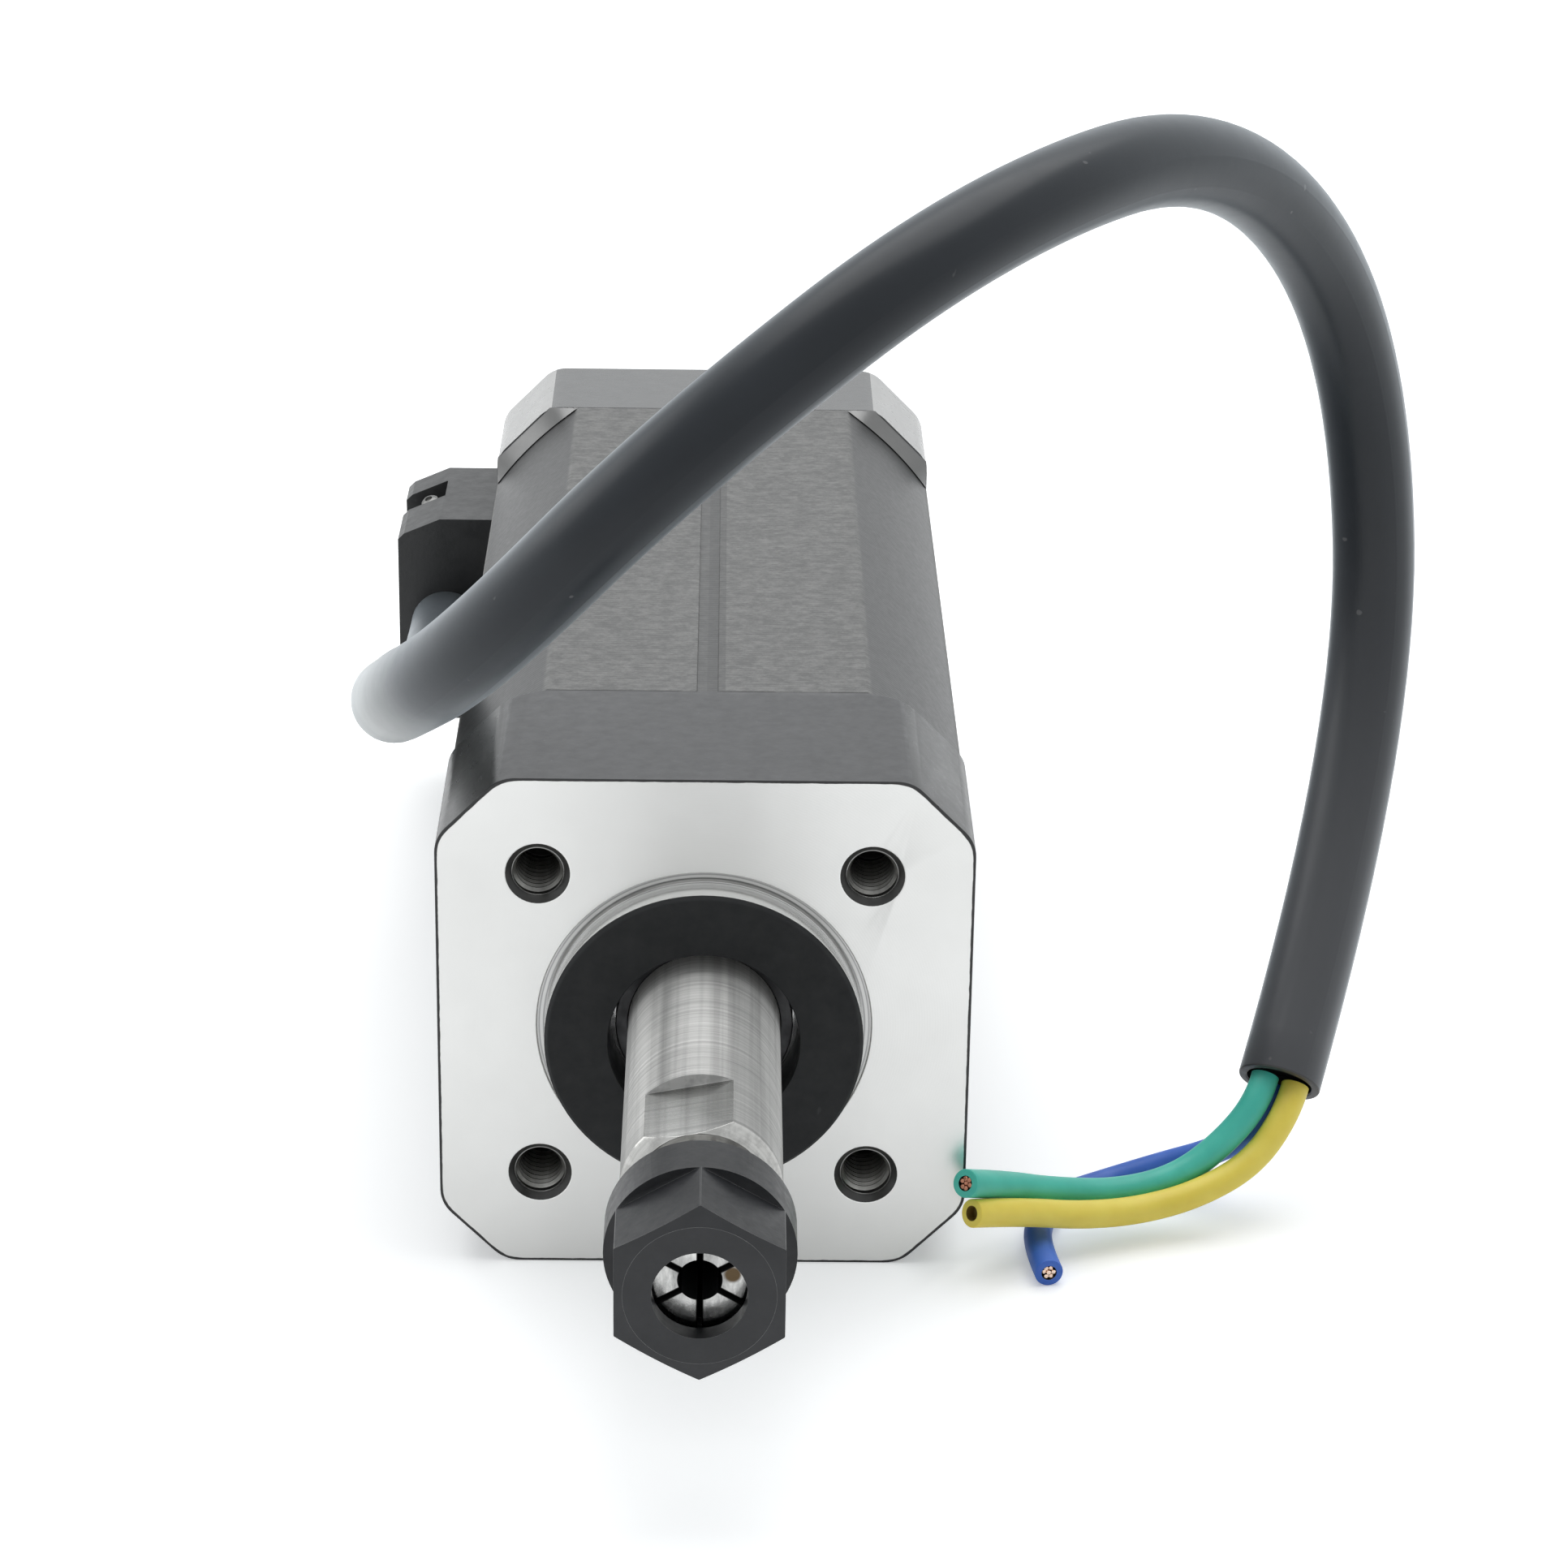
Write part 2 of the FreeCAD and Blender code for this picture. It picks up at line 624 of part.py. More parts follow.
def bearing(name, start, width, bore, outer, count):
    """Grooved races, balls in a cage and two shields held by the outer race."""
    pitch = (bore + outer) / 2
    ball = (outer - bore) * ball_share
    middle = start + width / 2
    end = start + width
    groove = (pitch, middle, ball + ball_clearance)
    land_in = pitch - (outer - bore) * land_share
    land_out = pitch + (outer - bore) * land_share
    seat = land_out + shield_lap
    lid = shield_thickness
    race = new_body(name + "_outer_race")
    profile = [(land_out, start + lid), (seat, start + lid), (seat, start), (outer, start), (outer, end)]
    profile += [(seat, end), (seat, end - lid), (land_out, end - lid)]
    turned(race, [profile])
    turned(race, [groove], cut=True)
    race = new_body(name + "_inner_race")
    turned(race, [box(bore, land_in, start, end)])
    turned(race, [groove], cut=True)
    shields = new_body(name + "_shields")
    eye = land_in + shield_gap
    turned(shields, [box(eye, seat, start, start + lid), box(eye, seat, end - lid, end)])
    cage = new_body(name + "_cage")
    pocket = ball + cage_clearance
    rim = pocket + cage_rim
    turned(cage, [box(pitch - cage_half_wall, pitch + cage_half_wall, middle - rim, middle + rim)])
    hole = sideways(cage, [(middle, 0, pocket)], overrun, pitch + cage_half_wall + overrun, cut=True)
    ring_of(cage, [hole], count)
    spheres = []
    for i in range(count):
        angle = 2 * math.pi * i / count
        sphere = doc.addObject("Part::Sphere", name + "_ball")
        bind(sphere, "Radius", ball)
        bind(sphere, "Placement.Base.x", pitch * math.cos(angle))
        bind(sphere, "Placement.Base.y", middle)
        bind(sphere, "Placement.Base.z", pitch * math.sin(angle))
        spheres.append(sphere)
    balls = doc.addObject("Part::Compound", name + "_balls")
    balls.Label = name + "_balls"
    balls.Links = spheres
    exported.append(balls)


def preload_washer():
    inner = rear_outer_radius - washer_width
    outer = rear_outer_radius - washer_gap
    turned(new_body("preload_washer"), [box(inner, outer, rear_bearing_end, rear_seat_end)])


def tie_screws():
    body = new_body("tie_screws")
    shank = across(body, [(tie_offset, tie_offset, tie_radius)], tie_tip, tie_seat)
    head_end = tie_seat + tie_head_height
    head = across(body, [(tie_offset, tie_offset, tie_head_radius)], tie_seat, head_end)
    hexagon = []
    for i in range(6):
        angle = math.radians(60 * i)
        across_head = tie_socket_radius * math.cos(angle)
        up_head = tie_socket_radius * math.sin(angle)
        hexagon.append((tie_offset + across_head, tie_offset + up_head))
    socket = across(body, [hexagon], head_end - tie_socket_depth, head_end, cut=True)
    ring_of(body, [shank, head, socket], 4)


def spring_collet():
    body = new_body("spring_collet")
    band = collet_face + collet_cone
    profile = [(collet_bore, collet_face), (collet_face_radius, collet_face), (collet_head_radius, band)]
    profile += [(collet_head_radius, groove_front), (collet_groove_radius, groove_front)]
    profile += [(collet_groove_radius, groove_rear), (collet_taper_radius, groove_rear)]
    profile += [(collet_radius_at(collet_rear), collet_rear), (collet_bore, collet_rear)]
    turned(body, [profile])
    half = collet_slit / 2
    reach = collet_head_radius + overrun
    front_slit = across(body, [mirrored_box(half, collet_bore / 2, reach)],
                        collet_face, collet_rear - collet_slit_end, cut=True)
    rear_slit = across(body, [box(collet_bore / 2, reach, -half, half)],
                       collet_face + rear_slit_start, collet_rear, cut=True)
    ring_of(body, [front_slit, rear_slit], 6)


def collet_nut():
    body = new_body("collet_nut")
    front = nut_face
    mouth = collet_face_radius + cone_clearance
    throat = collet_head_radius + cone_clearance
    ring_radius = collet_groove_radius + ring_clearance
    ring_front = groove_front + ring_clearance
    ring_rear = groove_rear - ring_clearance
    thread = thread_radius + nut_clearance
    band = collet_face + collet_cone
    profile = [(mouth, front), (nut_radius - nut_front_bevel, front)]
    profile += [(nut_radius, front + nut_front_bevel_long), (nut_radius, nut_rear - nut_rear_bevel)]
    profile += [(nut_radius - nut_rear_bevel, nut_rear), (thread, nut_rear), (thread, ring_rear)]
    profile += [(ring_radius, ring_rear), (ring_radius, ring_front), (throat, ring_front), (throat, band)]
    profile += [(mouth, collet_face)]
    turned(body, [profile])
    flat = across(body, [box(nut_flat_half, nut_radius + overrun, -nut_flat_half, nut_flat_half)],
                  front, nut_rear - nut_collar, cut=True)
    ring_of(body, [flat], 6)


def outlet_block():
    body = new_body("outlet_block")
    side = square_half
    brink = block_half - block_slope_drop
    right = [(-side, block_half), (-side - block_slope_start, block_half)]
    right += [(-side - block_slope_end, brink), (-side - block_depth, brink - block_edge)]
    outline = right + [(x, -y) for x, y in reversed(right)]
    across(body, [outline], block_front, block_rear)
    room_start = block_front + block_front_wall
    room = box(room_start, room_start + block_room_length, -block_room_half, block_room_half)
    sideways(body, [room], -side - block_depth + block_wall, -side, cut=True)
    across(body, [(-side - cable_out, -cable_drop, cable_radius)], block_front, room_start, cut=True)
    floor = -side - notch_floor
    notches = [(notch_along, notch_offset, notch_radius), (notch_along, -notch_offset, notch_radius)]
    sideways(body, notches, -side - block_depth, floor, cut=True)
    holes = [(notch_along, notch_offset, clamp_radius), (notch_along, -notch_offset, clamp_radius)]
    sideways(body, holes, floor, -side, cut=True)


def outlet_screws():
    body = new_body("outlet_screws")
    floor = -square_half - notch_floor
    crown = floor - clamp_head_height
    places = ((notch_along, notch_offset), (notch_along, -notch_offset))
    sideways(body, [(y, z, clamp_radius) for y, z in places], floor, floor + clamp_length)
    sideways(body, [(y, z, clamp_head_radius) for y, z in places], crown, floor)
    half = clamp_slot / 2
    slots = []
    for y, z in places:
        slots.append(box(y - half, y + half, z - clamp_slot_reach, z + clamp_slot_reach))
    sideways(body, slots, crown, crown + clamp_slot_depth, cut=True)


def tube(label, points, radius, report=True):
    """Round cord of straight runs joined by tangent arcs."""
    places = [FreeCAD.Vector(*point) for point in points]
    edges = []
    radii = []
    start = places[0]
    for before, corner, after in zip(places, places[1:], places[2:]):
        into = (corner - before).normalize()
        out = (after - corner).normalize()
        turn = into.getAngle(out)
        trim = 0.45 * min((corner - before).Length, (after - corner).Length)
        radii.append(trim / math.tan(turn / 2))
        a = corner - into * trim
        b = corner + out * trim
        inward = (out - into).normalize()
        centre = corner + inward * math.hypot(trim, radii[-1])
        middle = centre - inward * radii[-1]
        edges.append(Part.LineSegment(start, a).toShape())
        edges.append(Part.Arc(a, middle, b).toShape())
        start = b
    edges.append(Part.LineSegment(start, places[-1]).toShape())
    spine = Part.Wire(edges)
    heading = (places[1] - places[0]).normalize()
    section = Part.Wire([Part.Circle(places[0], heading, radius).toShape()])
    shape = spine.makePipeShell([section], True, True)
    wanted = math.pi * radius ** 2 * spine.Length
    if abs(shape.Volume - wanted) > 0.01 * wanted:
        raise RuntimeError("%s volume %.1f, wanted %.1f" % (label, shape.Volume, wanted))
    thing = doc.addObject("Part::Feature", label)
    thing.Label = label
    thing.Shape = shape
    thing.Placement = FreeCAD.Placement()
    exported.append(thing)
    if report:
        print(label, "length %.1f" % spine.Length, "radii", [round(r, 1) for r in radii])
    return shape


def cable_and_wires():
    """The cable as it lies in the photo, and its three wires to their cut ends."""
    exit_x = -square_half.value - cable_out.value
    exit_z = -cable_drop.value
    room = block_front.value + block_front_wall.value
    sheath = [(exit_x, room, exit_z), (-26, 81, -0.5), (-26.1, 66, 4), (-26.1, 46, 11), (-25.8, 24, 18)]
    sheath += [(-24, 2, 26.5), (-17, -16, 37), (-2.2, -24, 55), (19, -14, 69.5), (39, 11, 69.5)]
    sheath += [(53.6, 32, 48), (57, 33.5, 12), (47.2, 11, -10)]
    tube("cable_sheath", sheath, cable_radius.value)
    green = [(46.01, 10.76, -9.26), (45.33, 9.19, -10.79), (42.6, 7.9, -13.9), (38.7, 6.8, -16.7)]
    green += [(33.6, 5.7, -17.5), (28.6, 4.15, -16.6), (24.9, 1.4, -14.6), (22.2, -1.6, -12.8)]
    yellow = [(48.46, 10.35, -9.93), (47.77, 8.76, -11.49), (45.2, 7.38, -16), (40.6, 6.2, -18.6)]
    yellow += [(35.6, 4.6, -19.2), (30.65, 2.69, -18.44), (26, 0.88, -17.02), (22.1, -1, -16)]
    blue = [(47.09, 12, -11), (46.42, 10.45, -12.52), (44.8, 10.4, -14.4), (42.1, 10.8, -16.3)]
    blue += [(38.1, 11.8, -18.3)]
    blue += [(33.4, 11.5, -19.6), (29.5, 9.3, -19.8), (27.5, 5.4, -19.84), (27, 0.9, -19.84)]
    blue += [(27.7, -3.6, -19.82)]
    tube("wire_green", green, wire_radius.value)
    tube("wire_yellow", yellow, wire_radius.value)
    tube("wire_blue", blue, wire_radius.value)


def phase_leads():
    """Three insulated leads from the windings through the rear cap to the end of the sheath."""
    x = -square_half.value - cable_out.value
    start = block_front.value + block_front_wall.value
    along = notch_along.value
    tip = (stack_rear + insulator_wall + insulator_skirt + lead_end_gap).value
    reach = -(rear_outer_radius + boss_wall + lead_radius + lead_gap).value
    shapes = []
    for i in (-1, 0, 1):
        z = -cable_drop.value + i * lead_spacing.value
        points = [(x, start, z), (x, along, z), (reach, along, z), (reach, tip, z)]
        shapes.append(tube("lead", points, lead_radius.value, report=False))
        doc.removeObject(exported.pop().Name)
    leads = doc.addObject("Part::Feature", "phase_leads")
    leads.Label = "phase_leads"
    leads.Shape = Part.makeCompound(shapes)
    leads.Placement = FreeCAD.Placement()
    exported.append(leads)


front_end_cap()
rear_end_cap()
stator_core()
insulator("insulator_front", stack_front, -1)
insulator("insulator_rear", stack_rear, 1)
coils("coils_phase_a", 0)
coils("coils_phase_b", 60)
coils("coils_phase_c", 120)
spindle_shaft()
rotor()
bearing("front_bearing", front_seat_wall, front_bearing_width, shaft_radius, front_outer_radius, 8)
bearing("rear_bearing", rear_bearing_front, rear_bearing_width, rear_shaft_radius, rear_outer_radius, 7)
preload_washer()
tie_screws()
spring_collet()
collet_nut()
outlet_block()
outlet_screws()
phase_leads()
cable_and_wires()
doc.recompute()

faults = []
for thing in doc.Objects:
    if "Invalid" in thing.State or "Error" in thing.State:
        faults.append(thing.Label + " " + ",".join(thing.State))
for thing in exported:
    if thing.Shape.isNull() or not thing.Shape.isValid() or not thing.Shape.Solids:
        faults.append(thing.Label + " shape")
if faults:
    raise RuntimeError("; ".join(faults))
for thing in exported:
    thing.Shape.exportStep("parts/%s.step" % thing.Label)
    print("%-26s %2d solids %9.2f mm3" % (thing.Label, len(thing.Shape.Solids), thing.Shape.Volume))
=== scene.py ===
import json
import math
import random

import bmesh
import bpy
from mathutils import Matrix, Vector

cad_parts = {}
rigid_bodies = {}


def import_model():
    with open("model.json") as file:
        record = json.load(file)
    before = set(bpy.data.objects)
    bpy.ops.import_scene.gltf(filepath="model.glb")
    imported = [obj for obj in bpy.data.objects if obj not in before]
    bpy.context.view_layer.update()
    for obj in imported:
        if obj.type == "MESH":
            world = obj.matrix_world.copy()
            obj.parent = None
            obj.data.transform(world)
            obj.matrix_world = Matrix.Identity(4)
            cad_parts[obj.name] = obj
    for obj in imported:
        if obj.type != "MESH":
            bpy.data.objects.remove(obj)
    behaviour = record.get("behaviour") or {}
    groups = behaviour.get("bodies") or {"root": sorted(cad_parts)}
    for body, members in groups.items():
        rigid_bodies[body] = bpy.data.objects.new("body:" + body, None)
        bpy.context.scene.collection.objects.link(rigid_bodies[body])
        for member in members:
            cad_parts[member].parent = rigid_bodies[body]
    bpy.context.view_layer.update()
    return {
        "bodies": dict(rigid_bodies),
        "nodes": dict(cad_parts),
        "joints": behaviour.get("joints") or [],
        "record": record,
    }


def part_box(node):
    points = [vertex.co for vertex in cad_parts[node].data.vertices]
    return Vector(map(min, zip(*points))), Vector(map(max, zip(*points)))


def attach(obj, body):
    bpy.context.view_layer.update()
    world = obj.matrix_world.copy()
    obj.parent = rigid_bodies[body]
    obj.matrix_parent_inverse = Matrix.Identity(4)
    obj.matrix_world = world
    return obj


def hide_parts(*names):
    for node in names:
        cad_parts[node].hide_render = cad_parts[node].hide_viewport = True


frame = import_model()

MM = 0.001
scene = bpy.context.scene

# Camera at the photograph's viewing angle
CAMERA_PLACE = (1.2, -305.2, 147.1)
CAMERA_RIGHT = (0.9999, -0.0099, 0.0141)
CAMERA_UP = (-0.0092, 0.3827, 0.9238)
CAMERA_BACK = (-0.0145, -0.9238, 0.3825)
LENS = 98.62


def make_camera():
    data = bpy.data.cameras.new("camera")
    data.lens = LENS
    data.sensor_width = 36
    data.clip_start = 0.01
    data.clip_end = 20
    camera = bpy.data.objects.new("camera", data)
    scene.collection.objects.link(camera)
    turn = Matrix((CAMERA_RIGHT, CAMERA_UP, CAMERA_BACK)).transposed()
    camera.matrix_world = Matrix.Translation(Vector(CAMERA_PLACE) * MM) @ turn.to_4x4()
    scene.camera = camera


make_camera()

# Routes of the cable and its wires in millimetres
CABLE = [(-26, 95.5, -0.5), (-26, 81, -0.5), (-26.1, 66, 4), (-26.1, 46, 11), (-25.8, 24, 18),
         (-24, 2, 26.5), (-17, -16, 37), (-2.2, -24, 55), (19, -14, 69.5), (39, 11, 69.5),
         (53.6, 32, 48), (57, 33.5, 12), (47.2, 11, -10)]
GREEN = [(46.01, 10.76, -9.26), (45.33, 9.19, -10.79), (42.6, 7.9, -13.9), (38.7, 6.8, -16.7),
         (33.6, 5.7, -17.5), (28.2, 4.15, -16.53), (24, 1.11, -14.36), (20.8, -2.9, -12.2)]
YELLOW = [(48.46, 10.35, -9.93), (47.77, 8.76, -11.49), (45, 7.06, -15.31), (40.31, 5, -17.21),
          (35.38, 3.73, -18.08), (30.44, 1.88, -17.55), (25.6, 0.03, -16.26), (21.36, -3.44, -14.59)]
BLUE = [(47.09, 12, -11), (46.42, 10.45, -12.52), (44.8, 10.4, -14.4), (42.1, 10.8, -16.3),
        (38.1, 11.8, -18.1), (33.4, 11.5, -19.6), (29.5, 9.3, -19.8), (27.5, 5.4, -19.84),
        (27, 0.9, -19.84), (27.7, -3.6, -19.82)]
CABLE_RADIUS = 3.4
WIRE_RADIUS = 1.15
CABLE_BORE = 2.85
CABLE_SIDES = 48
WIRE_SIDES = 40
WIRE_BORE = 0.62

# Cut ends: (radius, place along the cord, inside the bore or not)
CABLE_END = [(CABLE_RADIUS, -0.15, False), (CABLE_RADIUS - 0.05, -0.04, False),
             (CABLE_RADIUS - 0.15, 0.0, False), (CABLE_BORE, 0.0, True), (2.72, -0.1, True),
             (2.66, -1.6, True)]
WIRE_END = [(WIRE_RADIUS, -0.1, False), (WIRE_RADIUS - 0.03, -0.03, False),
            (WIRE_RADIUS - 0.1, 0.0, False), (WIRE_BORE, 0.0, True),
            (WIRE_BORE - 0.03, -0.08, True), (WIRE_BORE - 0.04, -0.8, True)]

# Copper strands, in millimetres
STRAND = 0.19
STRAND_RING = 0.39
STRAND_COUNT = 6
STRAND_SIDES = 12
STRAND_DEPTH = -0.6
STRAND_LEAN = 0.12
STRAND_TURN = 0.15
STRAND_TIPS = (-0.12, 0.05)

# Moulding seams of the cable: place, steps and width in radians, height in millimetres
SEAMS = (0.3, 1.0)
SEAM_STEPS = (-0.06, -0.03, 0.0, 0.03, 0.06)
SEAM_WIDTH = 0.03
SEAM_HEIGHT = 0.015

# Place of the painted sheen on the cable, of the collet's brown glint, and reach of the painted
# shade beside the collet's slits, in millimetres
SHEEN_PLACE = (-25, 12, 22)
BROWN_GLINT = (2.3, -40.8, 0.45)
SLIT_SHADE_REACH = (0.22, 0.3)

# Where the collet's shortened front starts, in millimetres, and the share of it that is kept
COLLET_BAND = -40.4
COLLET_SHORT = 0.35

# Sizes that the finishes follow, in millimetres
PAINT_LINE = 20.78
CORNER_DROP = 7.15
CORNER_BLEND = 1.4
STACK_FRONT = 18.8
STACK_REAR = 94.5
SHEET = 0.5
GROOVE_RINGS = (12.3, 13.25)
CORNER_REACH = 26.0
REAR_HALF = 21.0
REAR_FRONT = 94.5
STACK_ARC = 24.7
LIP_SPREAD = 13.5
LIP_LAP = 1.3
POCKET = ((-31, 98.7, 6.8), (-26.4, 103.3, 12))
WELD_BAND = (0.7, 0.75)
STRIP = (20.7, 20.9)

# Fineness: turning marks and steps, merging distance in metres, flat angle in degrees
FACE_RINGS = 30000.0
LIP_STEPS = 24
MERGE_DISTANCE = 0.000002
FLAT_DEGREES = 0.6

# Parts of the front cap, by radius and by place along the axis
HOLE_OFFSET = 13
HOLE_REACH = 2.6
HOLE_END = 8.01
SEAL_REACH = 12.55
SEAL_FRONT = -2.75
BORE_REACH = 7.8
BORE_END = 2.5
GROOVE_REACH = 13.3
GROOVE_END = 0.3
CAST_REACH = 22

# Parts of the shaft, measured the same way
SOCKET_REACH = 4.4
FLAT_SPAN = (-28.2, -20.4)
FLAT_REACH = 5.6
BEVEL_SPAN = (-28.3, -27.2)

# Thread ridge and mouth edge of the flange holes: (radius, place along the axis)
THREAD_PITCH = 0.7
RIDGE_STEPS = 30
RIDGE_TURNS = 9.5
RIDGE_START = 0.85
RIDGE_PROFILE = ((2.01, -0.31), (1.76, -0.05), (1.76, 0.05), (2.01, 0.31))
MOUTH_EDGE = [(2.05, 0.48), (2.0, 0.46), (1.96, 0.52), (2.0, 0.64)]
MOUTH_SIDES = 48

# Small round heads in the outlet block
HEAD_PLACE = (-28.0, 100.6, 9.0)
HEAD_AXIS = (-0.35, -0.25, 0.9)
HEAD_PROFILE = [(0.1, 0.28), (0.32, 0.3), (0.38, 0.52), (0.62, 0.45), (0.86, 0.25), (0.92, 0.0),
                (0.92, -2.0)]
HEAD_SIDES = 40


# Materials

class Shader:
    """A node material with the few nodes that its finish needs."""

    def __init__(self, name, metallic=0.0, specular=None):
        self.material = bpy.data.materials.new(name)
        self.material.use_nodes = True
        self.tree = self.material.node_tree
        self.surface = self.tree.nodes["Principled BSDF"]
        self.set("Metallic", metallic)
        if specular is not None:
            self.set("Specular IOR Level", specular)
        self.place = self.node("ShaderNodeTexCoord").outputs["Object"]
        self.height = None

    def node(self, kind):
        return self.tree.nodes.new(kind)

    def link(self, output, target):
        self.tree.links.new(output, target)

    def set(self, socket, value):
        self.surface.inputs[socket].default_value = value

    def noise(self, scale, detail=3.0, rough=0.55, stretch=(1, 1, 1)):
        mapping = self.node("ShaderNodeMapping")
        mapping.inputs["Scale"].default_value = stretch
        self.link(self.place, mapping.inputs["Vector"])
        noise = self.node("ShaderNodeTexNoise")
        noise.inputs["Scale"].default_value = scale
        noise.inputs["Detail"].default_value = detail
        noise.inputs["Roughness"].default_value = rough
        self.link(mapping.outputs["Vector"], noise.inputs["Vector"])
        return noise.outputs["Fac"]

    def ramp(self, source, stops):
        ramp = self.node("ShaderNodeValToRGB")
        elements = ramp.color_ramp.elements
        while len(elements) < len(stops):
            elements.new(0.5)
        for element, (place, color) in zip(elements, stops):
            element.position = place
            element.color = (*color, 1)
        self.link(source, ramp.inputs["Fac"])
        return ramp.outputs["Color"]

    def grey(self, source, stops):
        return self.ramp(source, [(place, (value, value, value)) for place, value in stops])

    def mix(self, factor, under, over):
        """A plain colour laid over another finish by a factor from 0 to 1."""
        mix = self.node("ShaderNodeMix")
        mix.data_type = "RGBA"
        self.link(factor, mix.inputs[0])
        self.link(under, mix.inputs[6])
        mix.inputs[7].default_value = (*over, 1)
        return mix.outputs[2]

    def math(self, kind, a, b=0.0, c=0.0):
        node = self.node("ShaderNodeMath")
        node.operation = kind
        for socket, value in zip(node.inputs, (a, b, c)):
            if isinstance(value, (int, float)):
                socket.default_value = value
            else:
                self.link(value, socket)
        return node.outputs[0]

    def axes(self):
        split = self.node("ShaderNodeSeparateXYZ")
        self.link(self.place, split.inputs[0])
        return split.outputs

    def axis_distance(self, x, z):
        """Distance from the spindle's axis."""
        squares = self.math("ADD", self.math("MULTIPLY", x, x), self.math("MULTIPLY", z, z))
        return self.math("SQRT", squares)

    def near(self, point, full, none):
        """1 within the first distance of a point in millimetres, falling to 0 at the second."""
        distance = self.node("ShaderNodeVectorMath")
        distance.operation = "DISTANCE"
        self.link(self.place, distance.inputs[0])
        distance.inputs[1].default_value = tuple(value * MM for value in point)
        return self.fall(distance.outputs["Value"], none * MM, full * MM)

    def fall(self, source, low, high):
        """0 at the low value and 1 at the high one, with a soft passage."""
        spread = self.node("ShaderNodeMapRange")
        spread.interpolation_type = "SMOOTHSTEP"
        self.link(source, spread.inputs["Value"])
        spread.inputs["From Min"].default_value = low
        spread.inputs["From Max"].default_value = high
        return spread.outputs["Result"]

    def color(self, output):
        self.link(output, self.surface.inputs["Base Color"])

    def metal_share(self, output):
        self.link(output, self.surface.inputs["Metallic"])

    def roughness(self, output):
        self.link(output, self.surface.inputs["Roughness"])

    def bump(self, height, depth):
        """Depth in millimetres; bumps stack in the order they are added."""
        bump = self.node("ShaderNodeBump")
        bump.inputs["Distance"].default_value = depth * MM
        self.link(height, bump.inputs["Height"])
        if self.height is not None:
            self.link(self.height, bump.inputs["Normal"])
        self.height = bump.outputs["Normal"]
        self.link(self.height, self.surface.inputs["Normal"])


def cast_paint(name, low, high, rough, grain=0.012, specular=0.6, index=1.5):
    """Satin black paint with a fine orange peel and a few dust specks."""
    s = Shader(name, specular=specular)
    s.set("IOR", index)
    base = s.ramp(s.noise(420, 5, 0.65), [(0.3, low), (0.75, high)])
    dust = s.grey(s.noise(2600, 2, 0.5), [(0.74, 0.0), (0.8, 0.5)])
    s.color(s.mix(dust, base, (0.16, 0.165, 0.17)))
    s.roughness(s.grey(s.noise(900, 3), [(0.3, rough[0]), (0.7, rough[1])]))
    s.bump(s.noise(1500, 4, 0.6), grain)
    return s.material


def rough_cast():
    """Cast corner under thin glossy paint, with bright specks where the grain catches the light."""
    s = Shader("rough_cast", specular=0.5)
    grain = s.noise(1100, 5, 0.7)
    paint = [(0.35, (0.014, 0.015, 0.016)), (0.64, (0.024, 0.025, 0.026)), (0.74, (0.1, 0.1, 0.1))]
    s.color(s.ramp(grain, paint))
    s.roughness(s.grey(grain, [(0.3, 0.26), (0.7, 0.34)]))
    s.bump(s.noise(330, 3), 0.02)
    return s.material


def machined_face():
    """Faced aluminium inside a thin edge of black paint, with very fine turning arcs."""
    s = Shader("machined_face")
    x, _, z = s.axes()
    across = s.math("ABSOLUTE", x)
    up = s.math("ABSOLUTE", z)
    corner = s.math("SUBTRACT", s.math("ADD", across, up), CORNER_DROP * MM)
    corner = s.math("MULTIPLY", corner, math.sqrt(0.5))
    reach = s.math("SMOOTH_MAX", s.math("MAXIMUM", across, up), corner, CORNER_BLEND * MM)
    ragged = s.math("MULTIPLY", s.math("SUBTRACT", s.noise(900, 2), 0.5), 0.12 * MM)
    edge = s.fall(s.math("ADD", reach, ragged), (PAINT_LINE - 0.03) * MM, (PAINT_LINE + 0.03) * MM)
    bright = s.ramp(s.noise(60, 3), [(0.3, (0.78, 0.78, 0.765)), (0.7, (0.85, 0.85, 0.835))])
    mark = s.grey(s.noise(300, 1, 0.3, stretch=(0.3, 1, 1)), [(0.8, 0.0), (0.82, 0.3)])
    bright = s.mix(mark, bright, (0.5, 0.5, 0.5))
    s.color(s.mix(edge, bright, (0.02, 0.02, 0.021)))
    s.metal_share(s.math("SUBTRACT", 1.0, edge))
    rings = s.math("SINE", s.math("MULTIPLY", s.axis_distance(x, z), FACE_RINGS))
    s.roughness(s.grey(s.noise(200, 3), [(0.3, 0.36), (0.7, 0.4)]))
    s.bump(rings, 0.0008)
    return s.material


def black_wall():
    """Painted countersink and tapped hole."""
    s = Shader("black_wall", specular=0.5)
    s.color(s.ramp(s.noise(300, 3), [(0.3, (0.018, 0.018, 0.017)), (0.7, (0.03, 0.029, 0.027))]))
    s.roughness(s.grey(s.noise(700, 2), [(0.3, 0.3), (0.7, 0.38)]))
    s.bump(s.noise(900, 2), 0.004)
    return s.material


def turned_groove():
    """Bright turned aluminium at the foot of the pilot, with a few dark and light rings that are
    painted shade and highlights of the groove's edges.
    """
    s = Shader("turned_groove", metallic=0.7, specular=0.6)
    x, _, z = s.axes()
    rings = s.fall(s.axis_distance(x, z), GROOVE_RINGS[0] * MM, GROOVE_RINGS[1] * MM)
    bright = (0.66, 0.66, 0.65)
    grey = (0.3, 0.3, 0.3)
    # Grey rings are painted shade and bright rings painted highlights at the groove's edges
    bands = [(0.1, bright), (0.3, grey), (0.45, bright), (0.7, bright), (0.8, grey), (0.95, bright)]
    s.color(s.ramp(rings, bands))
    s.roughness(s.grey(s.noise(60, 2), [(0.3, 0.12), (0.7, 0.16)]))
    return s.material


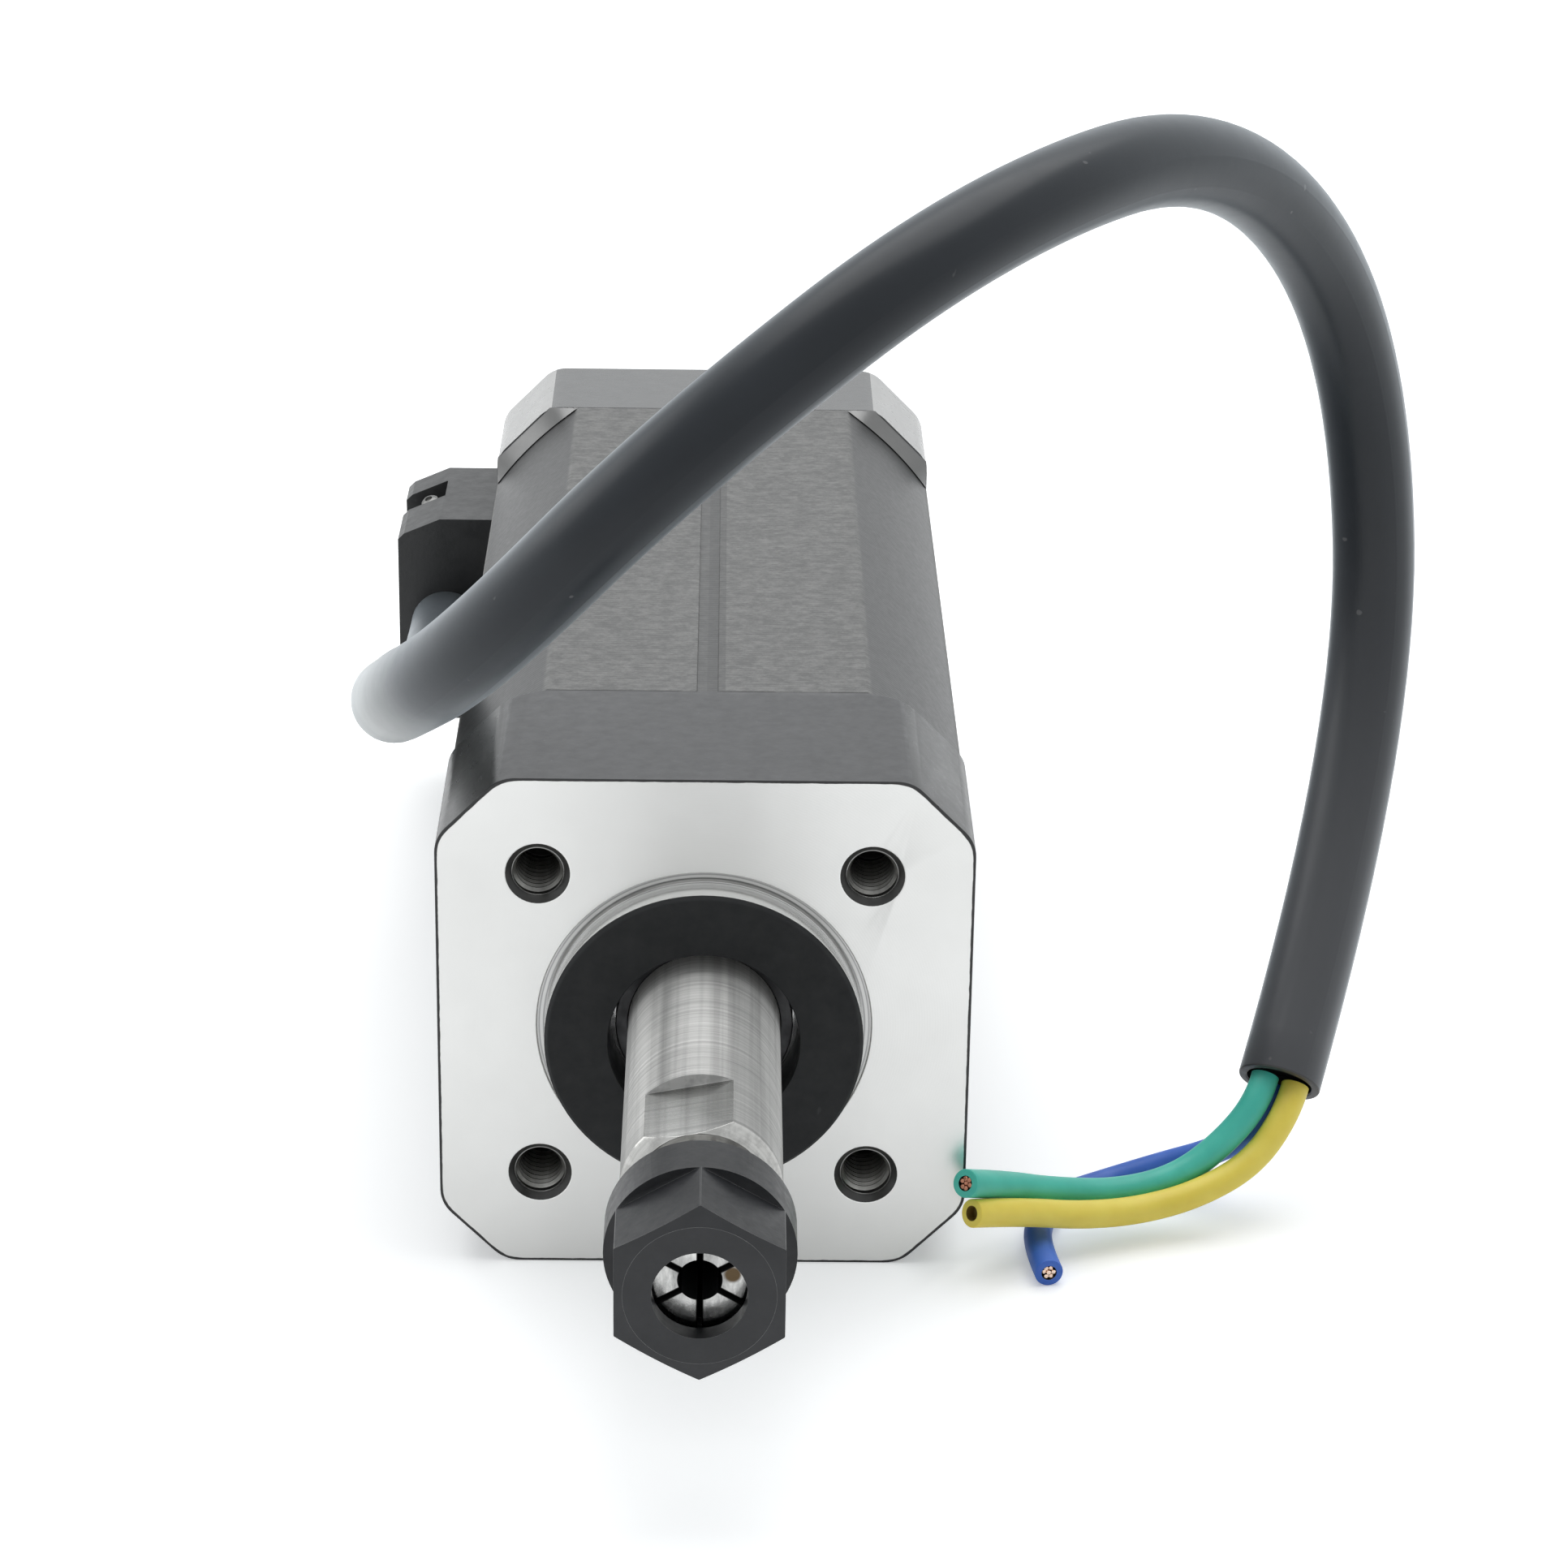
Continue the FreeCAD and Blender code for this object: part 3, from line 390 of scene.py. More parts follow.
def turned_steel(name, tint, low, high, pitch=9000.0, depth=0.004, anisotropy=0.0):
    """Turned steel with fine marks round the axis and faint streaks along it."""
    s = Shader(name, metallic=1.0)
    streaks = s.noise(420, 5, 0.7, stretch=(0.1, 7.0, 0.1))
    dark = tuple(channel * 0.62 for channel in tint)
    darker = tuple(channel * 0.3 for channel in tint)
    drawn = s.noise(260, 3, 0.6, stretch=(3.0, 0.04, 3.0))
    color = s.ramp(streaks, [(0.3, dark), (0.7, tint)])
    s.color(s.mix(s.grey(drawn, [(0.42, 0.35), (0.56, 0.0)]), color, darker))
    s.roughness(s.grey(streaks, [(0.3, high), (0.7, low)]))
    if anisotropy:
        tangent = s.node("ShaderNodeTangent")
        tangent.direction_type = "RADIAL"
        tangent.axis = "Y"
        s.link(tangent.outputs["Tangent"], s.surface.inputs["Tangent"])
        s.set("Anisotropic", anisotropy)
        s.set("Anisotropic Rotation", 0.25)
    along = s.axes()[1]
    s.bump(s.math("SINE", s.math("MULTIPLY", along, pitch)), depth)
    s.bump(streaks, 0.008)
    return s.material


def black_oxide():
    """Black oxide on turned steel, slightly blotched."""
    s = Shader("black_oxide", metallic=0.1, specular=0.46)
    blotch = s.noise(350, 4, 0.6)
    s.color(s.ramp(blotch, [(0.3, (0.016, 0.017, 0.019)), (0.7, (0.026, 0.027, 0.03))]))
    s.roughness(s.grey(s.noise(1300, 3), [(0.3, 0.32), (0.7, 0.44)]))
    s.bump(s.noise(2600, 3), 0.01)
    return s.material


def sealing_black():
    """Dead black paint on the boss face and inside the nose hole, with a little lint."""
    s = Shader("sealing_black", specular=0.22)
    base = s.ramp(s.noise(500, 4), [(0.3, (0.015, 0.016, 0.017)), (0.7, (0.023, 0.024, 0.025))])
    lint = s.grey(s.noise(700, 1, 0.3, stretch=(1, 1, 0.35)), [(0.78, 0.0), (0.81, 0.35)])
    s.color(s.mix(lint, base, (0.1, 0.1, 0.1)))
    s.roughness(s.grey(s.noise(1200, 3), [(0.3, 0.5), (0.7, 0.62)]))
    s.bump(s.noise(2600, 3), 0.012)
    return s.material


def lamination():
    """Painted stack: a faint ridge for each sheet, dry speckle, chips along the front edge, and a
    broken line of painted shade where it meets each cap.
    """
    s = Shader("lamination", specular=0.6)
    x, y, z = s.axes()
    flat = s.math("MAXIMUM", s.math("ABSOLUTE", x), s.math("ABSOLUTE", z))
    strip = s.fall(flat, STRIP[0] * MM, STRIP[1] * MM)
    speckle = s.noise(1500, 5, 0.8)
    base = s.ramp(s.noise(160, 4), [(0.3, (0.028, 0.029, 0.03)), (0.7, (0.036, 0.037, 0.038))])
    weave = s.noise(1100, 4, 0.8, stretch=(0.8, 1.3, 0.8))
    dry = s.math("MULTIPLY", s.grey(weave, [(0.4, 0.3), (0.64, 0.85)]), strip)
    painted = s.mix(dry, base, (0.17, 0.17, 0.165))
    band = s.math("COMPARE", x, WELD_BAND[0] * MM, WELD_BAND[1] * MM)
    painted = s.mix(s.math("MULTIPLY", band, 0.45), painted, (0.03, 0.031, 0.032))
    front = s.fall(y, (STACK_FRONT + 0.32) * MM, (STACK_FRONT + 0.1) * MM)
    chip = s.math("MULTIPLY", front, s.grey(s.noise(300, 3, 0.6), [(0.62, 0.0), (0.65, 1.0)]))
    # Broken near-black line at the joints with the caps: painted shade in the gaps
    rear = s.fall(y, (STACK_REAR - 0.25) * MM, (STACK_REAR - 0.1) * MM)
    seam = s.fall(y, (STACK_FRONT + 0.12) * MM, (STACK_FRONT + 0.04) * MM)
    joint_shade = s.grey(s.noise(260, 3, 0.6), [(0.44, 0.0), (0.5, 0.9)])
    joint_shade = s.math("MULTIPLY", s.math("MAXIMUM", rear, seam), joint_shade)
    painted = s.mix(joint_shade, painted, (0.004, 0.004, 0.004))
    s.color(s.mix(chip, painted, (0.75, 0.75, 0.72)))
    smooth_paint = s.grey(speckle, [(0.3, 0.32), (0.7, 0.42)])
    s.roughness(s.math("MULTIPLY_ADD", strip, 0.12, smooth_paint))
    sheets = s.math("SINE", s.math("MULTIPLY", y, 2 * math.pi / (SHEET * MM)))
    s.bump(sheets, 0.003)
    s.bump(s.math("MULTIPLY", weave, strip), 0.018)
    return s.material


def moulded_plastic():
    """Black moulded plastic with a fine texture."""
    s = Shader("moulded_plastic", specular=0.52)
    s.color(s.ramp(s.noise(200, 3), [(0.3, (0.02, 0.021, 0.022)), (0.7, (0.03, 0.031, 0.032))]))
    s.roughness(s.grey(s.noise(900, 3), [(0.3, 0.3), (0.7, 0.42)]))
    s.bump(s.noise(3000, 2), 0.012)
    return s.material


def sheath_rubber():
    """Black rubber with a painted sheen where the cable turns sharply, lighter towards its cut end,
    and some lint.
    """
    s = Shader("sheath_rubber", specular=0.3)
    s.set("Sheen Weight", 0.5)
    s.set("Sheen Roughness", 0.42)
    s.set("Sheen Tint", (0.84, 0.93, 1.0, 1))
    base = s.ramp(s.noise(120, 4), [(0.3, (0.0065, 0.009, 0.013)), (0.7, (0.011, 0.014, 0.019))])
    # Lighter towards the cut end of the cable
    base = s.mix(s.math("MULTIPLY", s.near(CABLE[-1], 12, 60), 0.85), base, (0.08, 0.082, 0.088))
    cloud = s.math("MULTIPLY_ADD", s.noise(190, 4), 0.5, 0.75)
    # Painted sheen where the cable turns sharply
    painted_sheen = s.math("MULTIPLY", s.near(SHEEN_PLACE, 9, 27), cloud)
    with_sheen = s.mix(s.math("MULTIPLY", painted_sheen, 0.9), base, (0.42, 0.42, 0.395))
    lint = s.grey(s.noise(800, 1, 0.3), [(0.79, 0.0), (0.82, 0.4)])
    s.color(s.mix(lint, with_sheen, (0.2, 0.2, 0.2)))
    s.roughness(s.grey(s.noise(500, 4), [(0.3, 0.3), (0.7, 0.36)]))
    s.bump(s.noise(900, 2), 0.004)
    return s.material


def insulation(name, low, high):
    s = Shader(name, specular=0.45)
    s.set("Subsurface Weight", 0.08)
    s.set("Subsurface Scale", 0.001)
    s.color(s.ramp(s.noise(260, 3), [(0.3, low), (0.7, high)]))
    s.roughness(s.grey(s.noise(700, 3), [(0.3, 0.36), (0.7, 0.48)]))
    s.bump(s.noise(1800, 2), 0.008)
    return s.material


def collet_steel():
    """Ground spring steel, with the brown glint of one segment and painted shade along the edges of
    its slits.
    """
    s = Shader("collet_steel", metallic=1.0)
    brushed = s.noise(900, 4, 0.7, stretch=(1, 1, 0.3))
    steel = [(0.32, (0.26, 0.26, 0.255)), (0.5, (0.5, 0.5, 0.49)), (0.68, (0.78, 0.78, 0.76))]
    base = s.ramp(brushed, steel)
    base = s.mix(s.near(BROWN_GLINT, 0.45, 0.75), base, (0.1, 0.07, 0.04))
    x, _, z = s.axes()
    gap = None
    for angle in (math.radians(30), math.radians(90), math.radians(150)):
        off = s.math("MULTIPLY", x, math.sin(angle))
        off = s.math("SUBTRACT", off, s.math("MULTIPLY", z, math.cos(angle)))
        off = s.math("ABSOLUTE", off)
        gap = off if gap is None else s.math("MINIMUM", gap, off)
    # Near-black beside each slit: painted shade of the slit's edges
    s.color(s.mix(s.fall(gap, SLIT_SHADE_REACH[1] * MM, SLIT_SHADE_REACH[0] * MM), base, (0.01, 0.01, 0.01)))
    s.roughness(s.grey(s.noise(1200, 3), [(0.3, 0.16), (0.7, 0.3)]))
    s.bump(s.noise(2200, 3), 0.008)
    return s.material


def metal(name, low, high, rough=(0.25, 0.4), metallic=1.0):
    s = Shader(name, metallic=metallic)
    s.color(s.ramp(s.noise(500, 3), [(0.3, low), (0.7, high)]))
    s.roughness(s.grey(s.noise(1200, 3), [(0.3, rough[0]), (0.7, rough[1])]))
    s.bump(s.noise(2500, 3), 0.006)
    return s.material


PAINT = cast_paint("cast_paint", (0.03, 0.031, 0.033), (0.046, 0.047, 0.05), (0.3, 0.42))
REAR_PAINT = cast_paint("rear_paint", (0.04, 0.041, 0.042), (0.055, 0.056, 0.057), (0.2, 0.28),
                        0.01, 0.5, 2.2)
# Pale copy of the black paint: a painted highlight on the rear cap's sloping corners
HIGHLIGHT_CORNER_PAINT = cast_paint("painted_corner_highlight", (0.33, 0.33, 0.325), (0.39, 0.39, 0.384), (0.26, 0.32),
                        0.001, 0.5, 2.0)
# Lighter copy of the black paint: a painted highlight on the lips of the rear cap's corners
LIP_HIGHLIGHT_PAINT = cast_paint("painted_lip_highlight", (0.1, 0.1, 0.098), (0.13, 0.13, 0.127), (0.28, 0.34),
                       0.002, 0.5, 2.0)
ROUGH = rough_cast()
FACE = machined_face()
SHAFT = turned_steel("turned_steel", (0.57, 0.567, 0.555), 0.5, 0.6, anisotropy=0.9)
GROOVE = turned_groove()
GROUND = turned_steel("ground_flat", (0.42, 0.42, 0.41), 0.25, 0.32, pitch=5000.0, depth=0.001)
RIM = turned_steel("bright_rim", (0.6, 0.595, 0.575), 0.1, 0.18, depth=0.002)
NUT = black_oxide()
SEAL = sealing_black()
# Lighter grey for the nut's rounded edges
LIGHT_EDGE = metal("light_edge", (0.16, 0.16, 0.16), (0.3, 0.3, 0.3), (0.3, 0.4), 0.6)
STACK = lamination()
BLOCK = moulded_plastic()
RUBBER = sheath_rubber()
RUBBER_CUT = insulation("rubber_cut", (0.03, 0.03, 0.031), (0.05, 0.05, 0.051))
BROWN_INSIDE = insulation("brown_inside", (0.16, 0.1, 0.02), (0.24, 0.15, 0.035))
# Near-black inside the cut ends of the cable and wires: painted shade in their bores
BORE_SHADE = insulation("painted_bore_shade", (0.004, 0.004, 0.004), (0.008, 0.008, 0.008))
GREEN_SKIN = insulation("green_skin", (0.06, 0.5, 0.4), (0.085, 0.6, 0.48))
YELLOW_SKIN = insulation("yellow_skin", (0.84, 0.67, 0.09), (0.92, 0.76, 0.13))
BLUE_SKIN = insulation("blue_skin", (0.035, 0.13, 0.55), (0.06, 0.18, 0.68))
COPPER = metal("copper", (0.86, 0.6, 0.46), (0.98, 0.8, 0.68), (0.15, 0.3))
DULL_COPPER = metal("dull_copper", (0.34, 0.15, 0.09), (0.5, 0.24, 0.16), (0.3, 0.45))
COLLET = collet_steel()
BEARING = metal("bearing_steel", (0.6, 0.6, 0.6), (0.72, 0.72, 0.72), (0.08, 0.16))
PRESSED = metal("pressed_steel", (0.4, 0.4, 0.4), (0.52, 0.52, 0.51), (0.3, 0.42))
BLACK_SCREW = metal("black_screw", (0.04, 0.04, 0.042), (0.08, 0.08, 0.082), (0.3, 0.45))
ZINC_SCREW = metal("zinc_screw", (0.15, 0.15, 0.146), (0.22, 0.22, 0.215), (0.36, 0.46))
HOLE = black_wall()
THREAD = turned_steel("thread_steel", (0.4, 0.395, 0.375), 0.3, 0.4, pitch=4000.0, depth=0.001)
WINDING = metal("winding", (0.45, 0.16, 0.05), (0.6, 0.24, 0.09), (0.2, 0.35), 0.8)
IRON = metal("iron", (0.2, 0.2, 0.2), (0.3, 0.3, 0.3), (0.35, 0.5))
NATURAL = insulation("natural_plastic", (0.62, 0.6, 0.54), (0.7, 0.68, 0.62))


# Cords

def cord_line(route):
    """Points of the smooth line that a cord follows, in metres."""
    data = bpy.data.curves.new("line", "CURVE")
    data.dimensions = "3D"
    spline = data.splines.new("NURBS")
    spline.points.add(len(route) - 1)
    for point, place in zip(spline.points, route):
        point.co = (*(Vector(place) * MM), 1)
    spline.order_u = 3
    spline.use_endpoint_u = True
    data.resolution_u = 16
    holder = bpy.data.objects.new("line", data)
    mesh = bpy.data.meshes.new_from_object(holder)
    points = [vertex.co.copy() for vertex in mesh.vertices]
    bpy.data.objects.remove(holder)
    bpy.data.curves.remove(data)
    bpy.data.meshes.remove(mesh)
    return points


def frames_along(points):
    """Place, heading and sideways directions at each point, with as little twist as can be."""
    frames = []
    side = None
    for i, point in enumerate(points):
        heading = (points[min(i + 1, len(points) - 1)] - points[max(i - 1, 0)]).normalized()
        side = side or heading.orthogonal()
        side = (side - heading * side.dot(heading)).normalized()
        frames.append((point, heading, side, heading.cross(side)))
    return frames


def cord_mesh(bm, points, radius, angles, swell, end):
    """A round skin along the points, closed by the cut end whose profile is given."""
    rings = []

    def ring(frame, reach, along=0.0):
        place, heading, side, up = frame
        verts = []
        for angle in angles:
            out = side * math.cos(angle) + up * math.sin(angle)
            verts.append(bm.verts.new(place + out * reach(angle) * MM + heading * along * MM))
        rings.append(verts)

    frames = frames_along(points)
    for frame in frames[:-1]:
        ring(frame, lambda angle: radius + swell(angle))
    for size, along, _ in end:
        ring(frames[-1], lambda angle: size, along)
    skin = len(frames) - 2
    outside = sum(1 for _, _, inside in end if not inside)
    count = len(angles)
    for k, (a, b) in enumerate(zip(rings, rings[1:])):
        for i in range(count):
            j = (i + 1) % count
            face = bm.faces.new((a[i], a[j], b[j], b[i]))
            face.material_index = 0 if k <= skin else (1 if k <= skin + outside else 2)
    bm.faces.new(rings[0])
    bottom = bm.faces.new(rings[-1])
    bottom.material_index = 2


def even_angles(count):
    return [2 * math.pi * i / count for i in range(count)]


def seam_angles(count):
    """Even angles with a few more at each moulding seam."""
    angles = even_angles(count)
    for seam in SEAMS:
        for step in SEAM_STEPS:
            angles.append((seam + step) % (2 * math.pi))
    return sorted(set(round(angle, 5) for angle in angles))


def seam_swell(angle):
    """How far a moulding seam stands out, in millimetres."""
    swell = 0.0
    for seam in SEAMS:
        off = (angle - seam + math.pi) % (2 * math.pi) - math.pi
        swell += SEAM_HEIGHT * math.exp(-(off / SEAM_WIDTH) ** 2)
    return swell


def mesh_piece(name, build, materials, body):
    """A new mesh piece, made by a function that fills a bmesh."""
    mesh = bpy.data.meshes.new(name)
    bm = bmesh.new()
    build(bm)
    bmesh.ops.recalc_face_normals(bm, faces=bm.faces)
    bm.to_mesh(mesh)
    bm.free()
    for material in materials:
        mesh.materials.append(material)
    piece = bpy.data.objects.new(name, mesh)
    scene.collection.objects.link(piece)
    smooth(piece)
    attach(piece, body)
    return piece


def smooth(piece, degrees=32):
    for polygon in piece.data.polygons:
        polygon.use_smooth = True
    piece.data.set_sharp_from_angle(angle=math.radians(degrees))


def lathe(bm, profile, place, segments, closed=False, index=0):
    """Turn (radius, along) points about the Z axis of a frame."""
    rings = []
    for radius, along in profile:
        ring = []
        for i in range(segments):
            angle = 2 * math.pi * i / segments
            spot = Vector((radius * math.cos(angle), radius * math.sin(angle), along)) * MM
            ring.append(bm.verts.new(place @ spot))
        rings.append(ring)
    pairs = list(zip(rings, rings[1:]))
    if closed:
        pairs.append((rings[-1], rings[0]))
    for a, b in pairs:
        for i in range(segments):
            j = (i + 1) % segments
            face = bm.faces.new((a[i], a[j], b[j], b[i]))
            face.material_index = index
    return rings


def copper_core(name, points, material, seed):
    """Strands of a cut wire, a little back from the end of the insulation."""
    place, heading, side, up = frames_along(points)[-1]
    draw = random.Random(seed)

    def build(bm):
        spots = [(0, 0)]
        for i in range(STRAND_COUNT):
            angle = 2 * math.pi * i / STRAND_COUNT + draw.uniform(-STRAND_TURN, STRAND_TURN)
            spots.append((STRAND_RING * math.cos(angle), STRAND_RING * math.sin(angle)))
        for x, y in spots:
            sideways = draw.uniform(-STRAND_LEAN, STRAND_LEAN)
            upward = draw.uniform(-STRAND_LEAN, STRAND_LEAN)
            lean = heading + side * sideways + up * upward
            spot = place + (side * x + up * y) * MM
            turn = Matrix.Translation(spot) @ lean.to_track_quat("Z", "Y").to_matrix().to_4x4()
            tip = draw.uniform(*STRAND_TIPS)
            profile = [(STRAND, STRAND_DEPTH), (STRAND, tip - 0.05), (STRAND * 0.6, tip)]
            rings = lathe(bm, profile, turn, STRAND_SIDES)
            bm.faces.new(rings[-1])
            bm.faces.new(rings[0])

    return mesh_piece(name, build, [material], "motor")


def wire(color, route, skin, inside=BORE_SHADE):
    """One insulated wire, with its bare end; its strands are made on their own."""
    points = cord_line(route)

    def build(bm):
        cord_mesh(bm, points, WIRE_RADIUS, even_angles(WIRE_SIDES), lambda angle: 0.0, WIRE_END)

    piece = mesh_piece(color + "_wire", build, [skin, skin, inside], "motor")
    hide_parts("wire_" + color)


def make_cords():
    points = cord_line(CABLE)

    def build(bm):
        cord_mesh(bm, points, CABLE_RADIUS, seam_angles(CABLE_SIDES), seam_swell, CABLE_END)

    cable = mesh_piece("cable", build, [RUBBER, RUBBER_CUT, BORE_SHADE], "motor")
    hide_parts("cable_sheath")
    green = copper_core("green_core", cord_line(GREEN), DULL_COPPER, 3)
    blue = copper_core("blue_core", cord_line(BLUE), COPPER, 5)
    wire("green", GREEN, GREEN_SKIN)
    wire("yellow", YELLOW, YELLOW_SKIN, inside=BROWN_INSIDE)
    wire("blue", BLUE, BLUE_SKIN)


make_cords()


# Dressed copies of the CAD solids

def dressed(node, body, materials, choose, width, segments=2, angle=28, adjust=None,
            edge_finish=-1, opening=None):
    """A copy of a node with its edges rounded and its faces given their finishes."""
    source = frame["nodes"][node]
    bm = bmesh.new()
    bm.from_mesh(source.data)
    bmesh.ops.remove_doubles(bm, verts=bm.verts, dist=MERGE_DISTANCE)
    if adjust:
        for vertex in bm.verts:
            adjust(vertex.co)
    flat = math.radians(FLAT_DEGREES)
    bmesh.ops.dissolve_limit(bm, angle_limit=flat, verts=bm.verts, edges=bm.edges)
    mesh = bpy.data.meshes.new(node + "_dressed")
    for face in bm.faces:
        face.material_index = choose(face) if choose else 0
    bm.to_mesh(mesh)
    bm.free()
    for material in materials:
        mesh.materials.append(material)
    piece = bpy.data.objects.new(node + "_dressed", mesh)
    scene.collection.objects.link(piece)
    if opening:
        open_box(piece, *opening)
    smooth(piece, angle)
    bevel = piece.modifiers.new("edges", "BEVEL")
    bevel.width = width * MM
    bevel.segments = segments
    bevel.limit_method = "ANGLE"
    bevel.angle_limit = math.radians(angle)
    bevel.material = edge_finish
    bevel.harden_normals = True
    bevel.use_clamp_overlap = True
    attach(piece, body)
    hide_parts(node)


def open_box(piece, low, high):
    """Take a box, given by two corners in millimetres, out of a piece."""
    bm = bmesh.new()
    bmesh.ops.create_cube(bm, size=1)
    for vertex in bm.verts:
        for axis in range(3):
            vertex.co[axis] = (low[axis] if vertex.co[axis] < 0 else high[axis]) * MM
    data = bpy.data.meshes.new("opening")
    bm.to_mesh(data)
    bm.free()
    cutter = bpy.data.objects.new("opening", data)
    scene.collection.objects.link(cutter)
    cut = piece.modifiers.new("cut", "BOOLEAN")
    cut.object = cutter
    cut.operation = "DIFFERENCE"
    cut.solver = "EXACT"
    before = piece.data
    depsgraph = bpy.context.evaluated_depsgraph_get()
    piece.data = bpy.data.meshes.new_from_object(piece.evaluated_get(depsgraph))
    piece.modifiers.clear()
    bpy.data.objects.remove(cutter)
    bpy.data.meshes.remove(data)
    bpy.data.meshes.remove(before)


def centre(face):
    return face.calc_center_median() / MM


def front_cap_finish(face):
    """0 paint, 1 cast corner, 2 machined face, 3 turned pilot and groove, 4 dead black, 5 hole."""
    c = centre(face)
    n = face.normal
    reach = max(math.hypot(vertex.co.x, vertex.co.z) for vertex in face.verts) / MM
    from_hole = math.hypot(abs(c.x) - HOLE_OFFSET, abs(c.z) - HOLE_OFFSET)
    if -0.01 < c.y < HOLE_END and from_hole < HOLE_REACH and (abs(n.y) < 0.95 or c.y > 1):
        return 5
    if n.y < -0.9 and abs(c.y) < 0.01:
        return 2
    if reach < SEAL_REACH and c.y < SEAL_FRONT or reach < BORE_REACH and c.y < BORE_END:
        return 4
    if reach < GROOVE_REACH and c.y < GROOVE_END:
        return 3
    if abs(n.x) > 0.4 and abs(n.z) > 0.4 and reach > CAST_REACH:
        return 1
    return 0


def rear_cap_finish(face):
    """0 paint, 1 the sloping corners, paler as a painted highlight."""
    n = face.normal
    return 1 if abs(n.x) > 0.35 and abs(n.z) > 0.35 and abs(n.y) < 0.3 else 0


def shaft_finish(face):
    """0 turned, 1 ground flat, 2 bright bevel, 3 dark bore."""
    c = centre(face)
    n = face.normal
    radius = math.hypot(c.x, c.z)
    if radius < SOCKET_REACH and abs(n.y) < 0.9 and n.x * c.x + n.z * c.z < 0:
        return 3
    if FLAT_SPAN[0] < c.y < FLAT_SPAN[1] and abs(n.y) < 0.1 and radius < FLAT_REACH:
        return 1
    if BEVEL_SPAN[0] < c.y < BEVEL_SPAN[1]:
        return 2
    return 0


def collet_finish(face):
    """0 bright outside and front, 1 the dark bore and slits."""
    c = centre(face)
    n = face.normal
    outward = n.x * c.x + n.z * c.z
    facing_axis = outward < 0 and abs(n.y) < 0.5
    in_slit = abs(n.y) < 0.3 and abs(outward) < 0.7 * math.hypot(c.x, c.z)
    return 1 if facing_axis or in_slit else 0


def thread_ridges(bm):
    """The ridge of the thread inside each flange hole, and the bright edge at its mouth."""
    for sx in (-1, 1):
        for sz in (-1, 1):
            before = None
            for i in range(int(RIDGE_STEPS * RIDGE_TURNS)):
                angle = 2 * math.pi * i / RIDGE_STEPS
                along = RIDGE_START + THREAD_PITCH * i / RIDGE_STEPS
                now = []
                for radius, shift in RIDGE_PROFILE:
                    x = sx * HOLE_OFFSET + radius * math.cos(angle)
                    z = sz * HOLE_OFFSET + radius * math.sin(angle)
                    now.append(bm.verts.new(Vector((x, along + shift, z)) * MM))
                if before:
                    for k in range(4):
                        m = (k + 1) % 4
                        bm.faces.new((before[k], before[m], now[m], now[k]))
                else:
                    bm.faces.new(now)
                before = now
            bm.faces.new(before)
            place = Matrix.Translation(Vector((sx * HOLE_OFFSET, 0, sz * HOLE_OFFSET)) * MM)
            place = place @ Matrix.Rotation(-math.pi / 2, 4, "X")
            lathe(bm, MOUTH_EDGE, place, MOUTH_SIDES, closed=True, index=1)


def rear_lips(bm):
    """Sloping corners of the rear cap that lap a little over the round of the stack."""
    spread = math.radians(LIP_SPREAD)
    for corner in range(4):
        middle = math.radians(45 + 90 * corner)
        rows = []
        for i in range(LIP_STEPS + 1):
            angle = middle + spread * (2 * i / LIP_STEPS - 1)
            off = abs(angle - middle)
            flat = CORNER_REACH / math.cos(off)
            side = REAR_HALF / math.cos(math.pi / 4 - off)
            outer = min(flat, side)
            inner = min(STACK_ARC + 0.1, outer - 0.02)
            fore = LIP_LAP * math.cos(0.5 * math.pi * off / spread) ** 0.5 if off < spread else 0.0
            back = REAR_FRONT + 0.05
            row = []
            for radius, along in ((outer - 0.02, back), (inner, REAR_FRONT - fore), (inner, back)):
                spot = Vector((radius * math.cos(angle), along, radius * math.sin(angle)))
                row.append(bm.verts.new(spot * MM))
            rows.append(row)
        for a, b in zip(rows, rows[1:]):
            bm.faces.new((a[0], a[1], b[1], b[0]))
            bm.faces.new((a[1], a[2], b[2], b[1]))
            bm.faces.new((a[2], a[0], b[0], b[2]))
        bm.faces.new(rows[0])
        bm.faces.new(rows[-1])


def sunk_collet(place):
    """The mouth of the collet lies a little deeper than in the solid."""
    depth = COLLET_BAND - place.y / MM
    if depth > 0:
        place.y = (COLLET_BAND - depth * COLLET_SHORT) * MM


def screw_heads(bm):
    """Small round heads, each with a socket, on the clamp screws of the outlet block."""
    for side in (-1, 1):
        axis = Vector((HEAD_AXIS[0], HEAD_AXIS[1], HEAD_AXIS[2] * side)).normalized()
        turn = axis.to_track_quat("Z", "Y").to_matrix().to_4x4()
        spot = Vector((HEAD_PLACE[0], HEAD_PLACE[1], HEAD_PLACE[2] * side)) * MM
        rings = lathe(bm, HEAD_PROFILE, Matrix.Translation(spot) @ turn, HEAD_SIDES)
        bm.faces.new(rings[0])
        bm.faces.new(rings[-1])


